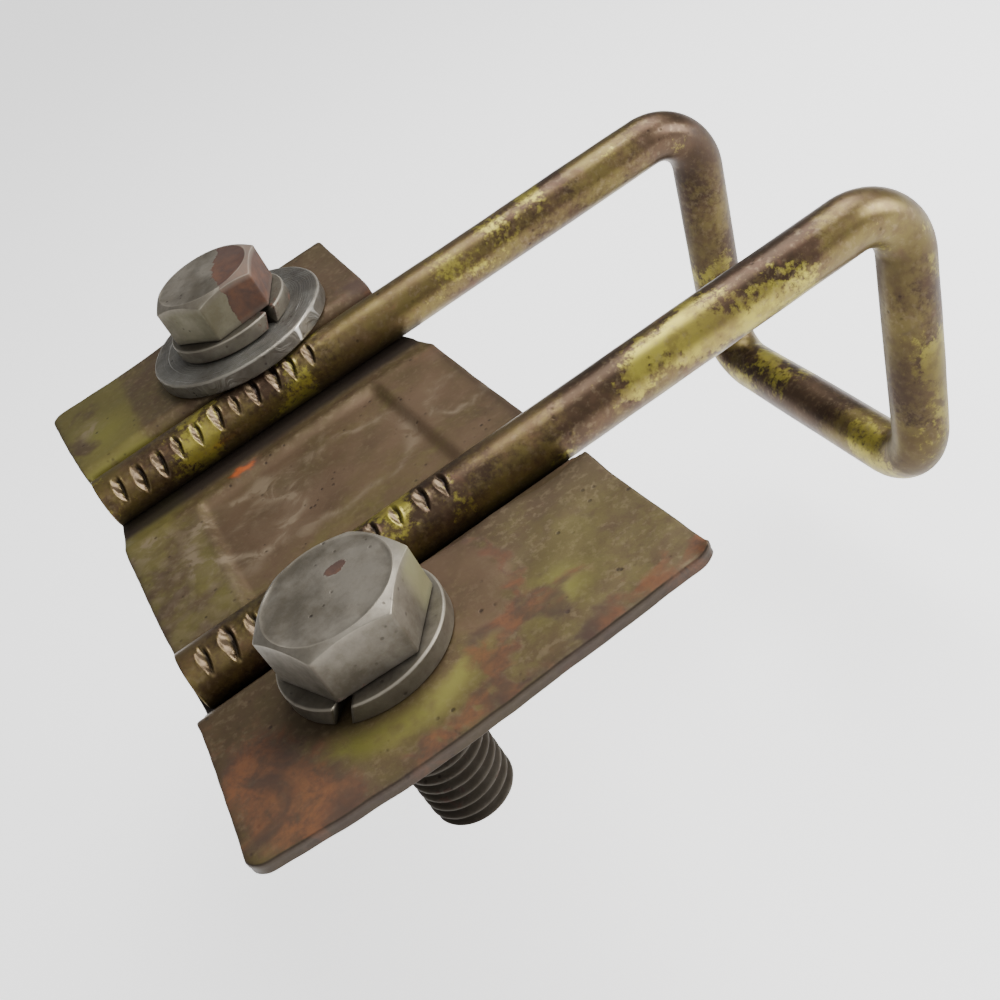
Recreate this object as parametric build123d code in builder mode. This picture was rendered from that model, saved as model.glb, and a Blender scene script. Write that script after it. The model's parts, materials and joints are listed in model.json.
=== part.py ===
from build123d import *
import math
import os

# Pressed mounting plate with a bent rod hook lying in its two grooves. Two hexagon bolts stand in
# the plate's flanges, each over its spring washer, and the far one over a large flat washer too.
# Millimetres, +Z up. The origin is midway between the two bolts, on the underside of the flanges.

# ---- Rod hook
rod_d = 6.0                # round rod
leg_spacing = 38.0         # between the axes of the two legs
leg_shift_y = 2.4          # the pair of legs lies this far off the middle of the plate
hook_reach = 61.5          # origin to the corner where the legs turn down
drop_height = 32.4         # leg axis down to the crossbar's axis
drop_lean = 6.2            # the crossbar lies this far back from the top corner
top_bend_r = 5.5           # axis radius of the two bends at the top
bottom_bend_r = 5.5        # axis radius of the two bends at the crossbar
far_end_inset = 1.2        # rod end inside the plate's end, far leg
near_end_inset = 1.6       # the same, near leg
rod_end_chamfer = 0.3

# ---- Sheet plate
sheet_t = 1.2
plate_length = 40.5        # along the rods
plate_width = 88.3         # across the rods
plate_shift_y = -0.75      # the plate's middle lies this far off the origin
end_cut_slope = 0.031      # both ends are cut slightly out of square
corner_r = 2.0
crest_gap = 0.15           # rod crest below the top of the flanges
near_lip_run = 9.2         # rod axis out to the edge of the near flange
far_lip_run = 3.3          # the same, far flange, whose wall is nearly upright
inner_lip_run = 7.5        # rod axis in to the edge of the middle panel
panel_drop = 2.0           # top of the middle panel below the rod axis
bend_inner_r = 0.3         # inside radius of the pressed bends
seat_clearance = 0.02      # rod surface to groove

# ---- Press marks on the crests of the legs
mark_pitch = 2.55
mark_length = 1.2          # along the rod
mark_depth = 0.45
mark_count = 11
far_mark_tilt = 44.0       # degrees towards -y from the top of the rod
near_mark_tilt = 25.0
far_mark_start = 2.4       # far leg's end to the middle of its first mark
near_mark_start = 2.2      # the same, near leg

# ---- M8 bolts, 12 mm across the flats
bolt_x = 3.5               # the far bolt stands at +x, the near one at -x
bolt_y = 31.2              # the far bolt stands at +y, the near one at -y
thread_d = 7.86            # over the crests
neck_d = 8.2               # plain neck, from the head down to the underside of the flanges
hole_clearance = 0.4       # radial, neck in the plate
bolt_length = 22.0         # under the head
tip_chamfer = 1.0
head_flats = 12.0
head_h = 5.2
head_crown_angle = 30.0    # chamfer round the top of the head
head_face_ratio = 0.94     # flat top circle over the width across the flats
near_head_turn = 55.6      # degrees, one corner of the head from +X
far_head_turn = 8.0

# ---- Washers
spring_od = 14.8
spring_t = 2.0
spring_clearance = 0.08    # radial, round the neck
spring_gap = 1.1           # width of the split
spring_cut_lean = 20.0     # degrees, the split leans from upright
near_split_turn = -125.0   # degrees, the split from +X
far_split_turn = -60.0
flat_od = 22.0
flat_t = 2.0
flat_clearance = 0.2       # radial, round the neck

# ---- Worked out from the above
neck_r = neck_d / 2
rod_r = rod_d / 2
seat_r = rod_r + seat_clearance
rod_z = sheet_t - crest_gap - rod_r
panel_z = rod_z - panel_drop
lip_r = bend_inner_r + sheet_t
far_leg_y = leg_shift_y + leg_spacing / 2
near_leg_y = leg_shift_y - leg_spacing / 2
half_length = plate_length / 2
near_edge_y = plate_shift_y - plate_width / 2
far_edge_y = plate_shift_y + plate_width / 2
crossbar_x = hook_reach - drop_lean
crossbar_z = rod_z - drop_height
hole_r = neck_r + hole_clearance
far_spring_z = sheet_t + flat_t
head_corner_r = head_flats / math.sqrt(3)
head_face_r = head_flats * head_face_ratio / 2
crown_drop = (head_corner_r - head_face_r) * math.tan(math.radians(head_crown_angle))


def plate_end_x(y):
    """Where the plate's left end crosses this y."""
    return -half_length - end_cut_slope * y


far_end_x = plate_end_x(far_leg_y) + far_end_inset
near_end_x = plate_end_x(near_leg_y) + near_end_inset


def wall_angle(run, rise):
    """Slope of a groove wall that starts at a lip and lies tangent to the seat circle."""
    return math.asin(seat_r / math.hypot(run, rise)) + math.atan2(rise, run)


inner_slope = math.tan(wall_angle(inner_lip_run, -panel_drop))
lip_step = sheet_t - panel_z


def groove_corner(lip_run):
    """Where a groove's two straight walls meet: distance out from the rod axis, and height.

    The seat circle rounds this corner off.
    """
    outer_slope = math.tan(wall_angle(lip_run, sheet_t - rod_z))
    wall_spread = lip_run * outer_slope - inner_lip_run * inner_slope
    out = (wall_spread - lip_step) / (outer_slope + inner_slope)
    return out, sheet_t - (lip_run - out) * outer_slope


near_groove_out, near_groove_z = groove_corner(near_lip_run)
far_groove_out, far_groove_z = groove_corner(far_lip_run)

# ---- Mounting plate: one folded section drawn out along X, trimmed to its outline
top_points = [
    (near_edge_y, sheet_t),
    (near_leg_y - near_lip_run, sheet_t),
    (near_leg_y - near_groove_out, near_groove_z),
    (near_leg_y + inner_lip_run, panel_z),
    (far_leg_y - inner_lip_run, panel_z),
    (far_leg_y + far_groove_out, far_groove_z),
    (far_leg_y + far_lip_run, sheet_t),
    (far_edge_y, sheet_t),
]
bend_radii = [lip_r, seat_r, lip_r, lip_r, seat_r, lip_r]
blank_half = half_length + end_cut_slope * plate_width + corner_r
plate_low = min(near_groove_z, far_groove_z) - 2 * sheet_t
outline_h = 2 * sheet_t - plate_low
outline_points = [
    (plate_end_x(near_edge_y), near_edge_y),
    (plate_end_x(near_edge_y) + plate_length, near_edge_y),
    (plate_end_x(far_edge_y) + plate_length, far_edge_y),
    (plate_end_x(far_edge_y), far_edge_y),
]

with BuildPart() as mounting_plate:
    with BuildSketch(Plane.YZ.offset(-blank_half)) as plate_section:
        with BuildLine() as top_line:
            FilletPolyline(*top_points, radius=bend_radii)
            offset(amount=sheet_t, side=Side.RIGHT)
        make_face()
    extrude(amount=2 * blank_half)
    with BuildSketch(Plane.XY.offset(plate_low)) as plate_outline:
        Polygon(*outline_points, align=None)
        fillet(plate_outline.vertices(), radius=corner_r)
    extrude(amount=outline_h, mode=Mode.INTERSECT)
    with Locations((-bolt_x, -bolt_y, sheet_t), (bolt_x, bolt_y, sheet_t)):
        Hole(radius=hole_r, depth=lip_step)

# ---- Rod hook: one round rod, four bends
rod_points = [
    (near_end_x, near_leg_y, rod_z),
    (hook_reach, near_leg_y, rod_z),
    (crossbar_x, near_leg_y, crossbar_z),
    (crossbar_x, far_leg_y, crossbar_z),
    (hook_reach, far_leg_y, rod_z),
    (far_end_x, far_leg_y, rod_z),
]
rod_bends = [top_bend_r, bottom_bend_r, bottom_bend_r, top_bend_r]
mark_span = (mark_count - 1) * mark_pitch
mark_floor = rod_r - mark_depth


def mark_plane(end_x, leg_y, start, tilt):
    """Plane on the floor of a leg's press marks, centred on their row and tilted with them."""
    middle_x = end_x + start + mark_span / 2
    leg_axis = Plane((middle_x, leg_y, rod_z), x_dir=(1, 0, 0), z_dir=(0, 0, 1))
    return leg_axis.rotated((tilt, 0, 0)).offset(mark_floor)


with BuildPart() as hook_rod:
    with BuildLine() as rod_axis:
        FilletPolyline(*rod_points, radius=rod_bends)
    with BuildSketch(Plane(rod_points[0], z_dir=(1, 0, 0))) as rod_section:
        Circle(rod_r)
    sweep()
    rod_ends = hook_rod.faces().filter_by(Axis.X).filter_by(GeomType.PLANE)
    chamfer(rod_ends.edges(), length=rod_end_chamfer)
    far_row = mark_plane(far_end_x, far_leg_y, far_mark_start, far_mark_tilt)
    near_row = mark_plane(near_end_x, near_leg_y, near_mark_start, near_mark_tilt)
    with BuildSketch(far_row, near_row) as press_marks:
        with GridLocations(mark_pitch, mark_pitch, mark_count, 1):
            Rectangle(mark_length, rod_d)
    extrude(amount=rod_r, mode=Mode.SUBTRACT)


def make_bolt(x, y, bearing_z, turn):
    """Hexagon bolt, head bearing at bearing_z, one corner of the head turned from +X."""
    with BuildPart() as bolt:
        with BuildSketch(Plane((x, y, bearing_z))):
            RegularPolygon(head_flats / 2, 6, major_radius=False, rotation=turn)
        extrude(amount=head_h)
        with BuildSketch(Plane((x, y, bearing_z), x_dir=(1, 0, 0), z_dir=(0, -1, 0))):
            with BuildLine():
                Polyline(
                    (0, 0),
                    (head_corner_r, 0),
                    (head_corner_r, head_h - crown_drop),
                    (head_face_r, head_h),
                    (0, head_h),
                    close=True,
                )
            make_face()
        revolve(axis=Axis((x, y, 0), (0, 0, 1)), mode=Mode.INTERSECT)
        with BuildSketch(Plane((x, y, bearing_z))):
            Circle(neck_r)
        extrude(amount=-bearing_z)
        with BuildSketch(Plane((x, y, 0))):
            Circle(thread_d / 2)
        extrude(amount=bearing_z - bolt_length)
        chamfer(bolt.faces().sort_by(Axis.Z)[0].edges(), length=tip_chamfer)
    return bolt


def make_spring_washer(x, y, seat_z, turn):
    """Split ring, underside at seat_z, the leaning split turned from +X."""
    with BuildPart() as washer:
        with BuildSketch(Plane((x, y, seat_z))):
            Circle(spring_od / 2)
            Circle(neck_r + spring_clearance, mode=Mode.SUBTRACT)
        extrude(amount=spring_t)
        # The slit is a leaning slab, longer than the ring is thick, from the axis outwards.
        slit_middle = Plane((x, y, seat_z + spring_t / 2)).rotated((0, 0, turn))
        with BuildSketch(slit_middle.rotated((spring_cut_lean, 0, 0))):
            with Locations((spring_od / 2, 0)):
                Rectangle(spring_od, spring_gap)
        extrude(amount=spring_t, both=True, mode=Mode.SUBTRACT)
    return washer


near_bolt = make_bolt(-bolt_x, -bolt_y, sheet_t + spring_t, near_head_turn)
far_bolt = make_bolt(bolt_x, bolt_y, far_spring_z + spring_t, far_head_turn)
near_spring_washer = make_spring_washer(-bolt_x, -bolt_y, sheet_t, near_split_turn)
far_spring_washer = make_spring_washer(bolt_x, bolt_y, far_spring_z, far_split_turn)

# ---- Large flat washer under the far bolt's spring washer
with BuildPart() as far_flat_washer:
    with BuildSketch(Plane((bolt_x, bolt_y, sheet_t))):
        Circle(flat_od / 2)
        Circle(neck_r + flat_clearance, mode=Mode.SUBTRACT)
    extrude(amount=flat_t)

os.makedirs("parts", exist_ok=True)

mounting_plate.part.label = "mounting_plate"
hook_rod.part.label = "hook_rod"
near_bolt.part.label = "near_bolt"
far_bolt.part.label = "far_bolt"
near_spring_washer.part.label = "near_spring_washer"
far_spring_washer.part.label = "far_spring_washer"
far_flat_washer.part.label = "far_flat_washer"

export_step(mounting_plate.part, "parts/mounting_plate.step")
export_step(hook_rod.part, "parts/hook_rod.step")
export_step(near_bolt.part, "parts/near_bolt.step")
export_step(far_bolt.part, "parts/far_bolt.step")
export_step(near_spring_washer.part, "parts/near_spring_washer.step")
export_step(far_spring_washer.part, "parts/far_spring_washer.step")
export_step(far_flat_washer.part, "parts/far_flat_washer.step")
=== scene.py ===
"""Looks for a bolt-on rod hook bracket: a pressed plate, a bent rod loop, two bolts and three washers.

Every piece is rebuilt as one closed surface from formulas, stands for one CAD node and rides on that
node's body. Shapes are worked out in millimetres and written to the meshes in metres, in the part's
own frame. Places come from the CAD nodes' boxes and the record's joints.
"""

import json
import logging
import math
from dataclasses import dataclass
from enum import Enum
from typing import Union

import bpy
import numpy as np
from mathutils import Matrix, Vector

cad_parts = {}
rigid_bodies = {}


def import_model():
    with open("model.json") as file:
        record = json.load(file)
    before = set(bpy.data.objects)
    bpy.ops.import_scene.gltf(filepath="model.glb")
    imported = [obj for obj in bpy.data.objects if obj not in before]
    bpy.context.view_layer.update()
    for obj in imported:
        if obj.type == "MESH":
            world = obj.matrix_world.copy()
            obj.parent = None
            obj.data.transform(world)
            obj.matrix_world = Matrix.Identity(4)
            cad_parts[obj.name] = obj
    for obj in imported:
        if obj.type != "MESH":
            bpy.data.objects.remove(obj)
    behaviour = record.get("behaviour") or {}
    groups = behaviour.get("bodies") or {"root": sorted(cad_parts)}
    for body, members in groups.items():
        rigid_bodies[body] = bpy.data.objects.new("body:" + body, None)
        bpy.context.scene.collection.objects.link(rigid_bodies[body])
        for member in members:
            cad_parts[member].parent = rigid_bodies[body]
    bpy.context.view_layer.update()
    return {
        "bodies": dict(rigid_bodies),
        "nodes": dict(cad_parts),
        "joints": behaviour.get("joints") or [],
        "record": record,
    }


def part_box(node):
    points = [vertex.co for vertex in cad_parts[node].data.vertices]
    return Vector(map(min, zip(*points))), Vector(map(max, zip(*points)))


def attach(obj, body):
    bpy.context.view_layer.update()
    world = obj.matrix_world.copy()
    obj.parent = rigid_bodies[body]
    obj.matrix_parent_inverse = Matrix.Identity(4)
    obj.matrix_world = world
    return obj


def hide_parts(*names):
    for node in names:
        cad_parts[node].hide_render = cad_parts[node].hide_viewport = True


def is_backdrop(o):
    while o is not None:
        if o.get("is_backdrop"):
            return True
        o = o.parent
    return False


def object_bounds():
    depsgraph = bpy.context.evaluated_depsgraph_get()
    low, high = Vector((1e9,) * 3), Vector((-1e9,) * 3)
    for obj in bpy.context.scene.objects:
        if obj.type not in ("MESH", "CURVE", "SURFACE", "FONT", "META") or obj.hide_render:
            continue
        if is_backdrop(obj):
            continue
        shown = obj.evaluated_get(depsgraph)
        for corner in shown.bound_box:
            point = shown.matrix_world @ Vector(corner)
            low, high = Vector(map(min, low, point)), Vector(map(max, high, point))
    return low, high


LOG = logging.getLogger("bracket")
MM = 0.001
BUMP_DISTANCE = 0.00012

Colour = tuple[float, float, float]
Value = Union[bpy.types.NodeSocket, float, Colour]
Masks = dict["Mask", np.ndarray]


class Mask(Enum):
    """Masks stored on the points of the meshes, each from 0 to 1, read by the finishes."""

    EDGE = "edge"
    RUST = "rust"
    # Painted shade in the grooves, under the heads and washers, on the rod's drops and in the washer's
    # split, with some dirt.
    SHADE_GRIME = "grime"
    PALE = "pale"
    # Fresh plating, and painted light on the bolt heads' sides, the plate's far lip and the panel's left
    # end.
    CLEAN_AND_LIT = "clean"
    BARE = "bare"
    BROWN = "brown"
    HOLLOW = "hollow"
    FLAKE = "flake"


class Side(Enum):
    """The two legs, and the two bolts that stand beside them."""

    NEAR = "near"
    FAR = "far"


# ---------------------------------------------------------------------------------------------
# Number helpers


def smooth(x: np.ndarray, low: float, high: float) -> np.ndarray:
    """Ramp from 0 at low to 1 at high with level ends.

    Args:
        x: Values to ramp.
        low: Where the ramp starts.
        high: Where the ramp ends. It may be below low, which turns the ramp round.

    Returns:
        The ramped values.
    """
    t = np.clip((np.asarray(x, float) - low) / (high - low), 0, 1)
    return t * t * (3 - 2 * t)


def hill(distance: np.ndarray, radius: float) -> np.ndarray:
    """Bell curve of a distance: 1 at zero, about a third at the radius.

    Args:
        distance: Distances.
        radius: The bell's radius.

    Returns:
        Values from 0 to 1.
    """
    return np.exp(-((np.asarray(distance, float) / radius) ** 2))


def spots(x: np.ndarray, y: np.ndarray, table: tuple[tuple[float, ...], ...]) -> np.ndarray:
    """Sums round bells.

    Args:
        x: Places along x, in millimetres.
        y: Places along y.
        table: One row for each bell, with its x, y, radius and weight.

    Returns:
        The sum at each place.
    """
    return sum(weight * hill(np.hypot(x - cx, y - cy), r) for cx, cy, r, weight in table)


class Ripple:
    """Smooth random values in the plane: a sum of sine waves in random directions.

    Args:
        seed: Seed of the random numbers.
        wavelength: Longest wave, in millimetres. Each further wave is a little shorter.
        waves: How many waves are added.
    """

    def __init__(self, seed: int, wavelength: float, waves: int = 9) -> None:
        """Draws the waves: directions first, then lengths, then phases.

        Args:
            seed: Seed of the random numbers.
            wavelength: Longest wave, in millimetres.
            waves: How many waves are added.
        """
        rng = np.random.default_rng(seed)
        turn = rng.uniform(0, 2 * math.pi, waves)
        k = 2 * math.pi / (wavelength * rng.uniform(0.45, 1.0, waves))
        self._k = np.stack([k * np.cos(turn), k * np.sin(turn)])
        self._phase = rng.uniform(0, 2 * math.pi, waves)
        self._share = 1 / math.sqrt(waves)

    def __call__(self, x: np.ndarray, y: np.ndarray) -> np.ndarray:
        """Gives the value at each point, mostly between -1 and 1."""
        angle = np.multiply.outer(x, self._k[0]) + np.multiply.outer(y, self._k[1]) + self._phase
        return np.sin(angle).sum(-1) * self._share


# ---------------------------------------------------------------------------------------------
# Meshes


class Surface:
    """A closed mesh put together from blocks of points, in millimetres."""

    def __init__(self) -> None:
        """Starts with no points and no faces."""
        self._points: list[np.ndarray] = []
        self._masks: list[Masks] = []
        self._faces: list[np.ndarray] = []
        self._count = 0

    def block(self, points: np.ndarray, masks: Masks | None = None) -> np.ndarray:
        """Adds points.

        Args:
            points: Array whose last axis is x, y, z.
            masks: Mask values in the points' layout.

        Returns:
            The points' numbers, in the same layout.
        """
        shape = points.shape[:-1]
        total = int(np.prod(shape))
        self._points.append(points.reshape(-1, 3))
        flat = {k: np.broadcast_to(v, shape).reshape(-1) for k, v in (masks or {}).items()}
        self._masks.append(flat)
        numbers = np.arange(self._count, self._count + total).reshape(shape)
        self._count += total
        return numbers

    def skin(self, grid: np.ndarray, wrap: bool = False, flip: bool = False,
             keep: np.ndarray | None = None) -> None:
        """Covers a grid of point numbers with quads.

        A face looks towards columns crossed with rows, and flip turns it to the other side.

        Args:
            grid: Rows and columns of point numbers.
            wrap: Joins the last column to the first.
            flip: Turns the faces over.
            keep: True for each quad that is wanted.
        """
        g = np.concatenate([grid, grid[:, :1]], axis=1) if wrap else grid
        quads = np.stack([g[:-1, :-1], g[:-1, 1:], g[1:, 1:], g[1:, :-1]], axis=-1)
        quads = quads[keep] if keep is not None else quads.reshape(-1, 4)
        self._faces.append(quads[:, ::-1] if flip else quads)

    def fan(self, ring: np.ndarray, centre: int, flip: bool = False) -> None:
        """Closes a ring of point numbers with triangles to one middle point.

        Args:
            ring: Point numbers in order.
            centre: The middle point's number.
            flip: Turns the faces over.
        """
        following = np.roll(ring, -1)
        tris = np.stack([ring, following, np.full_like(ring, centre)], axis=-1)
        self._faces.append(tris[:, ::-1] if flip else tris)

    def build(self, name: str) -> bpy.types.Object:
        """Makes the object, with normals weighted by face area so that flats stay flat.

        Args:
            name: The object's name.

        Returns:
            The new object, linked to the scene and standing at the origin.
        """
        points = np.concatenate(self._points)
        used = np.unique(np.concatenate([f.reshape(-1) for f in self._faces]))
        number = np.full(len(points), -1)
        number[used] = np.arange(len(used))
        faces = [number[f] for f in self._faces]
        kept = points[used]
        normals = np.zeros_like(kept)
        for f in faces:
            a, b, c, d = (kept[f[:, i]] for i in (0, 1, 2, f.shape[1] - 1))
            area = np.cross(c - a, (d if f.shape[1] == 4 else a) - b)
            for i in range(f.shape[1]):
                np.add.at(normals, f[:, i], area)
        length = np.linalg.norm(normals, axis=1, keepdims=True)
        normals = normals / np.where(length > 0, length, 1)
        mesh = bpy.data.meshes.new(name)
        mesh.from_pydata((kept * MM).tolist(), [], [f for part in faces for f in part.tolist()])
        for mask in Mask:
            parts = [m.get(mask, np.zeros(len(p))) for m, p in zip(self._masks, self._points)]
            values = np.clip(np.concatenate(parts)[used], 0, 1).astype(np.float32)
            if values.any():
                mesh.attributes.new(mask.value, "FLOAT", "POINT").data.foreach_set("value", values)
        mesh.polygons.foreach_set("use_smooth", np.ones(len(mesh.polygons), bool))
        mesh.normals_split_custom_set_from_vertices(normals.tolist())
        mesh.validate()
        obj = bpy.data.objects.new(name, mesh)
        bpy.context.scene.collection.objects.link(obj)
        LOG.info("%s: %d faces", name, len(mesh.polygons))
        return obj


# ---------------------------------------------------------------------------------------------
# Shader helpers


class Graph:
    """Adds and joins shader nodes in one tree.

    Args:
        tree: The node tree to work in.
    """

    def __init__(self, tree: bpy.types.NodeTree) -> None:
        """Keeps the tree."""
        self.tree = tree

    def node(self, kind: str, inputs: dict[Union[str, int], Value] | None = None,
             **properties: object) -> bpy.types.Node:
        """Adds a node.

        Args:
            kind: The node's type name.
            inputs: Input name or number to a socket or a plain value.
            **properties: Node properties.

        Returns:
            The node.
        """
        node = self.tree.nodes.new(kind)
        for key, value in properties.items():
            setattr(node, key, value)
        for key, value in (inputs or {}).items():
            self.put(node.inputs[key], value)
        return node

    def put(self, socket: bpy.types.NodeSocket, value: Value) -> None:
        """Joins a socket, or sets its constant.

        Args:
            socket: The input to fill.
            value: A socket to join it to, or a number or colour.
        """
        if isinstance(value, bpy.types.NodeSocket):
            self.tree.links.new(value, socket)
        elif isinstance(value, tuple) and socket.type == "RGBA" and len(value) == 3:
            socket.default_value = (*value, 1.0)
        else:
            socket.default_value = value

    def math(self, operation: str, a: Value, b: Value = 0.0, clamp: bool = False) -> bpy.types.NodeSocket:
        """Gives the sum, product and so on of two values."""
        node = self.node("ShaderNodeMath", {0: a, 1: b}, operation=operation, use_clamp=clamp)
        return node.outputs[0]

    def add(self, a: Value, b: Value, clamp: bool = False) -> bpy.types.NodeSocket:
        """Gives the sum of two values."""
        return self.math("ADD", a, b, clamp)

    def times(self, a: Value, b: Value) -> bpy.types.NodeSocket:
        """Gives the product of two values."""
        return self.math("MULTIPLY", a, b)

    def ramp(self, value: Value, low: float, high: float) -> bpy.types.NodeSocket:
        """Gives a smooth ramp from 0 at low to 1 at high."""
        node = self.node("ShaderNodeMapRange", {"Value": value, "From Min": low, "From Max": high},
                         interpolation_type="SMOOTHSTEP")
        return node.outputs["Result"]

    def mix(self, share: Value, a: Value, b: Value) -> bpy.types.NodeSocket:
        """Mixes two colours.

        Args:
            share: How much of the second colour, from 0 to 1.
            a: The first colour.
            b: The second colour.

        Returns:
            The mixed colour.
        """
        node = self.node("ShaderNodeMix", data_type="RGBA", blend_type="MIX")
        self.put(node.inputs["Factor"], share)
        self.put(node.inputs[6], a)
        self.put(node.inputs[7], b)
        return node.outputs[2]

    def coat(self, colour: Value, mask: Value, strength: float, tint: Value) -> bpy.types.NodeSocket:
        """Lays a tint over a colour where a mask is high, at the given strength."""
        return self.mix(self.times(mask, strength), colour, tint)

    def noise(self, vector: Value, scale: Value, detail: float = 4.0, rough: float = 0.55,
              bend: float = 0.0) -> bpy.types.NodeSocket:
        """Gives the noise value at a place.

        Args:
            vector: The place.
            scale: Cells to a metre.
            detail: How many finer layers are added.
            rough: How strong the finer layers are.
            bend: How far the place is shifted by noise first.

        Returns:
            The noise, from 0 to 1.
        """
        return self.node("ShaderNodeTexNoise",
                         {"Vector": vector, "Scale": scale, "Detail": detail, "Roughness": rough,
                          "Distortion": bend}).outputs[0]

    def mask(self, mask: Mask) -> bpy.types.NodeSocket:
        """Gives the value of one of the stored masks."""
        return self.node("ShaderNodeAttribute", attribute_name=mask.value).outputs["Fac"]

    def group(self, tree: bpy.types.NodeTree, **inputs: Value) -> bpy.types.Node:
        """Uses a node group.

        Args:
            tree: The group's tree.
            **inputs: Values by input name.

        Returns:
            The group's node.
        """
        node = self.node("ShaderNodeGroup", node_tree=tree)
        for key, value in inputs.items():
            self.put(node.inputs[key], value)
        return node

    def finish(self, colour: Value, metal: Value, rough: Value, height: Value, strength: float) -> None:
        """Joins the results to the material's own shader.

        Args:
            colour: Base colour.
            metal: How metallic it is.
            rough: Roughness.
            height: Height for the bump.
            strength: Strength of the bump.
        """
        bump = self.node("ShaderNodeBump", {"Height": height, "Strength": strength,
                                            "Distance": BUMP_DISTANCE}).outputs[0]
        surface = self.tree.nodes["Principled BSDF"]
        self.put(surface.inputs["Base Color"], colour)
        self.put(surface.inputs["Metallic"], metal)
        self.put(surface.inputs["Roughness"], rough)
        self.put(surface.inputs["Normal"], bump)


def srgb(red: int, green: int, blue: int) -> Colour:
    """Turns a screen colour from 0 to 255 into linear colour."""
    part = [v / 255 for v in (red, green, blue)]
    return tuple(v / 12.92 if v <= 0.04045 else ((v + 0.055) / 1.055) ** 2.4 for v in part)


class SharedEffects:
    """Node groups that several finishes use. They put out only colours and values."""

    def __init__(self) -> None:
        """Builds the groups once."""
        self.patches = self._patches()
        self.rust = self._rust()
        self.pits = self._pits()

    @staticmethod
    def _group(name: str, inputs: dict[str, float | None],
               outputs: dict[str, str]) -> tuple[Graph, bpy.types.NodeOutputs,
                                                 bpy.types.NodeInputs]:
        """Makes an empty group with its sockets.

        Args:
            name: The group's name.
            inputs: Input name to its first value, or None for a place.
            outputs: Output name to Float or Color.

        Returns:
            The graph, its input sockets and its output sockets.
        """
        tree = bpy.data.node_groups.new(name, "ShaderNodeTree")
        for key, value in inputs.items():
            kind = "NodeSocketVector" if value is None else "NodeSocketFloat"
            socket = tree.interface.new_socket(name=key, in_out="INPUT", socket_type=kind)
            if value is not None:
                socket.default_value = value
        for key, kind in outputs.items():
            tree.interface.new_socket(name=key, in_out="OUTPUT", socket_type=f"NodeSocket{kind}")
        given, result = tree.nodes.new("NodeGroupInput"), tree.nodes.new("NodeGroupOutput")
        return Graph(tree), given.outputs, result.inputs

    def _patches(self) -> bpy.types.NodeTree:
        """Builds ragged patches: large noise with a grainy border, cut at a level.

        Returns:
            The group, with a Mask output.
        """
        inputs = {"Vector": None, "Scale": 60.0, "Grain": 0.2, "Level": 0.5, "Softness": 0.06}
        g, given, result = self._group("ragged_patches", inputs, {"Mask": "Float"})
        big = g.noise(given["Vector"], given["Scale"], 3.0, 0.5, 0.4)
        fine = g.noise(given["Vector"], 1300.0, 5.0, 0.7)
        value = g.add(big, g.times(g.math("SUBTRACT", fine, 0.5), given["Grain"]))
        over = g.math("SUBTRACT", value, given["Level"])
        share = g.math("DIVIDE", over, given["Softness"])
        g.put(result["Mask"], g.add(share, 0.5, clamp=True))
        return g.tree

    def _rust(self) -> bpy.types.NodeTree:
        """Builds rust: dark brown to orange, spreading from where Amount is high.

        Returns:
            The group, with Color and Mask outputs.
        """
        g, given, result = self._group("rust_film", {"Vector": None, "Amount": 0.0},
                                       {"Color": "Color", "Mask": "Float"})
        place = given["Vector"]
        wide = g.noise(place, 420.0, 6.0, 0.65, 0.6)
        fine = g.noise(place, 2300.0, 4.0, 0.6)
        ragged = g.add(given["Amount"], g.times(g.math("SUBTRACT", wide, 0.5), 1.5))
        broad = g.noise(place, 150.0, 4.0, 0.55, 0.8)
        depth = g.times(g.ramp(g.add(wide, g.times(fine, 0.35)), 0.45, 0.85), g.ramp(broad, 0.36, 0.62))
        g.put(result["Color"], g.mix(depth, srgb(54, 34, 24), srgb(104, 62, 32)))
        g.put(result["Mask"], g.ramp(ragged, 0.2, 0.95))
        return g.tree

    def _pits(self) -> bpy.types.NodeTree:
        """Builds small dark pits and a fine grain height.

        Returns:
            The group, with Pits and Height outputs.
        """
        g, given, result = self._group("pits_and_grain", {"Vector": None, "Scale": 900.0},
                                       {"Pits": "Float", "Height": "Float"})
        place = given["Vector"]
        cells = g.node("ShaderNodeTexVoronoi", {"Vector": place, "Scale": given["Scale"],
                                                "Randomness": 1.0}).outputs["Distance"]
        where = g.ramp(g.noise(place, 260.0, 3.0), 0.5, 0.66)
        pits = g.times(g.ramp(cells, 0.24, 0.1), where)
        grain = g.noise(place, 2600.0, 3.0, 0.6)
        low = g.noise(place, 330.0, 3.0, 0.5)
        g.put(result["Pits"], pits)
        g.put(result["Height"], g.math("SUBTRACT", g.add(g.times(grain, 0.25), low), g.times(pits, 0.8)))
        return g.tree


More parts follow.
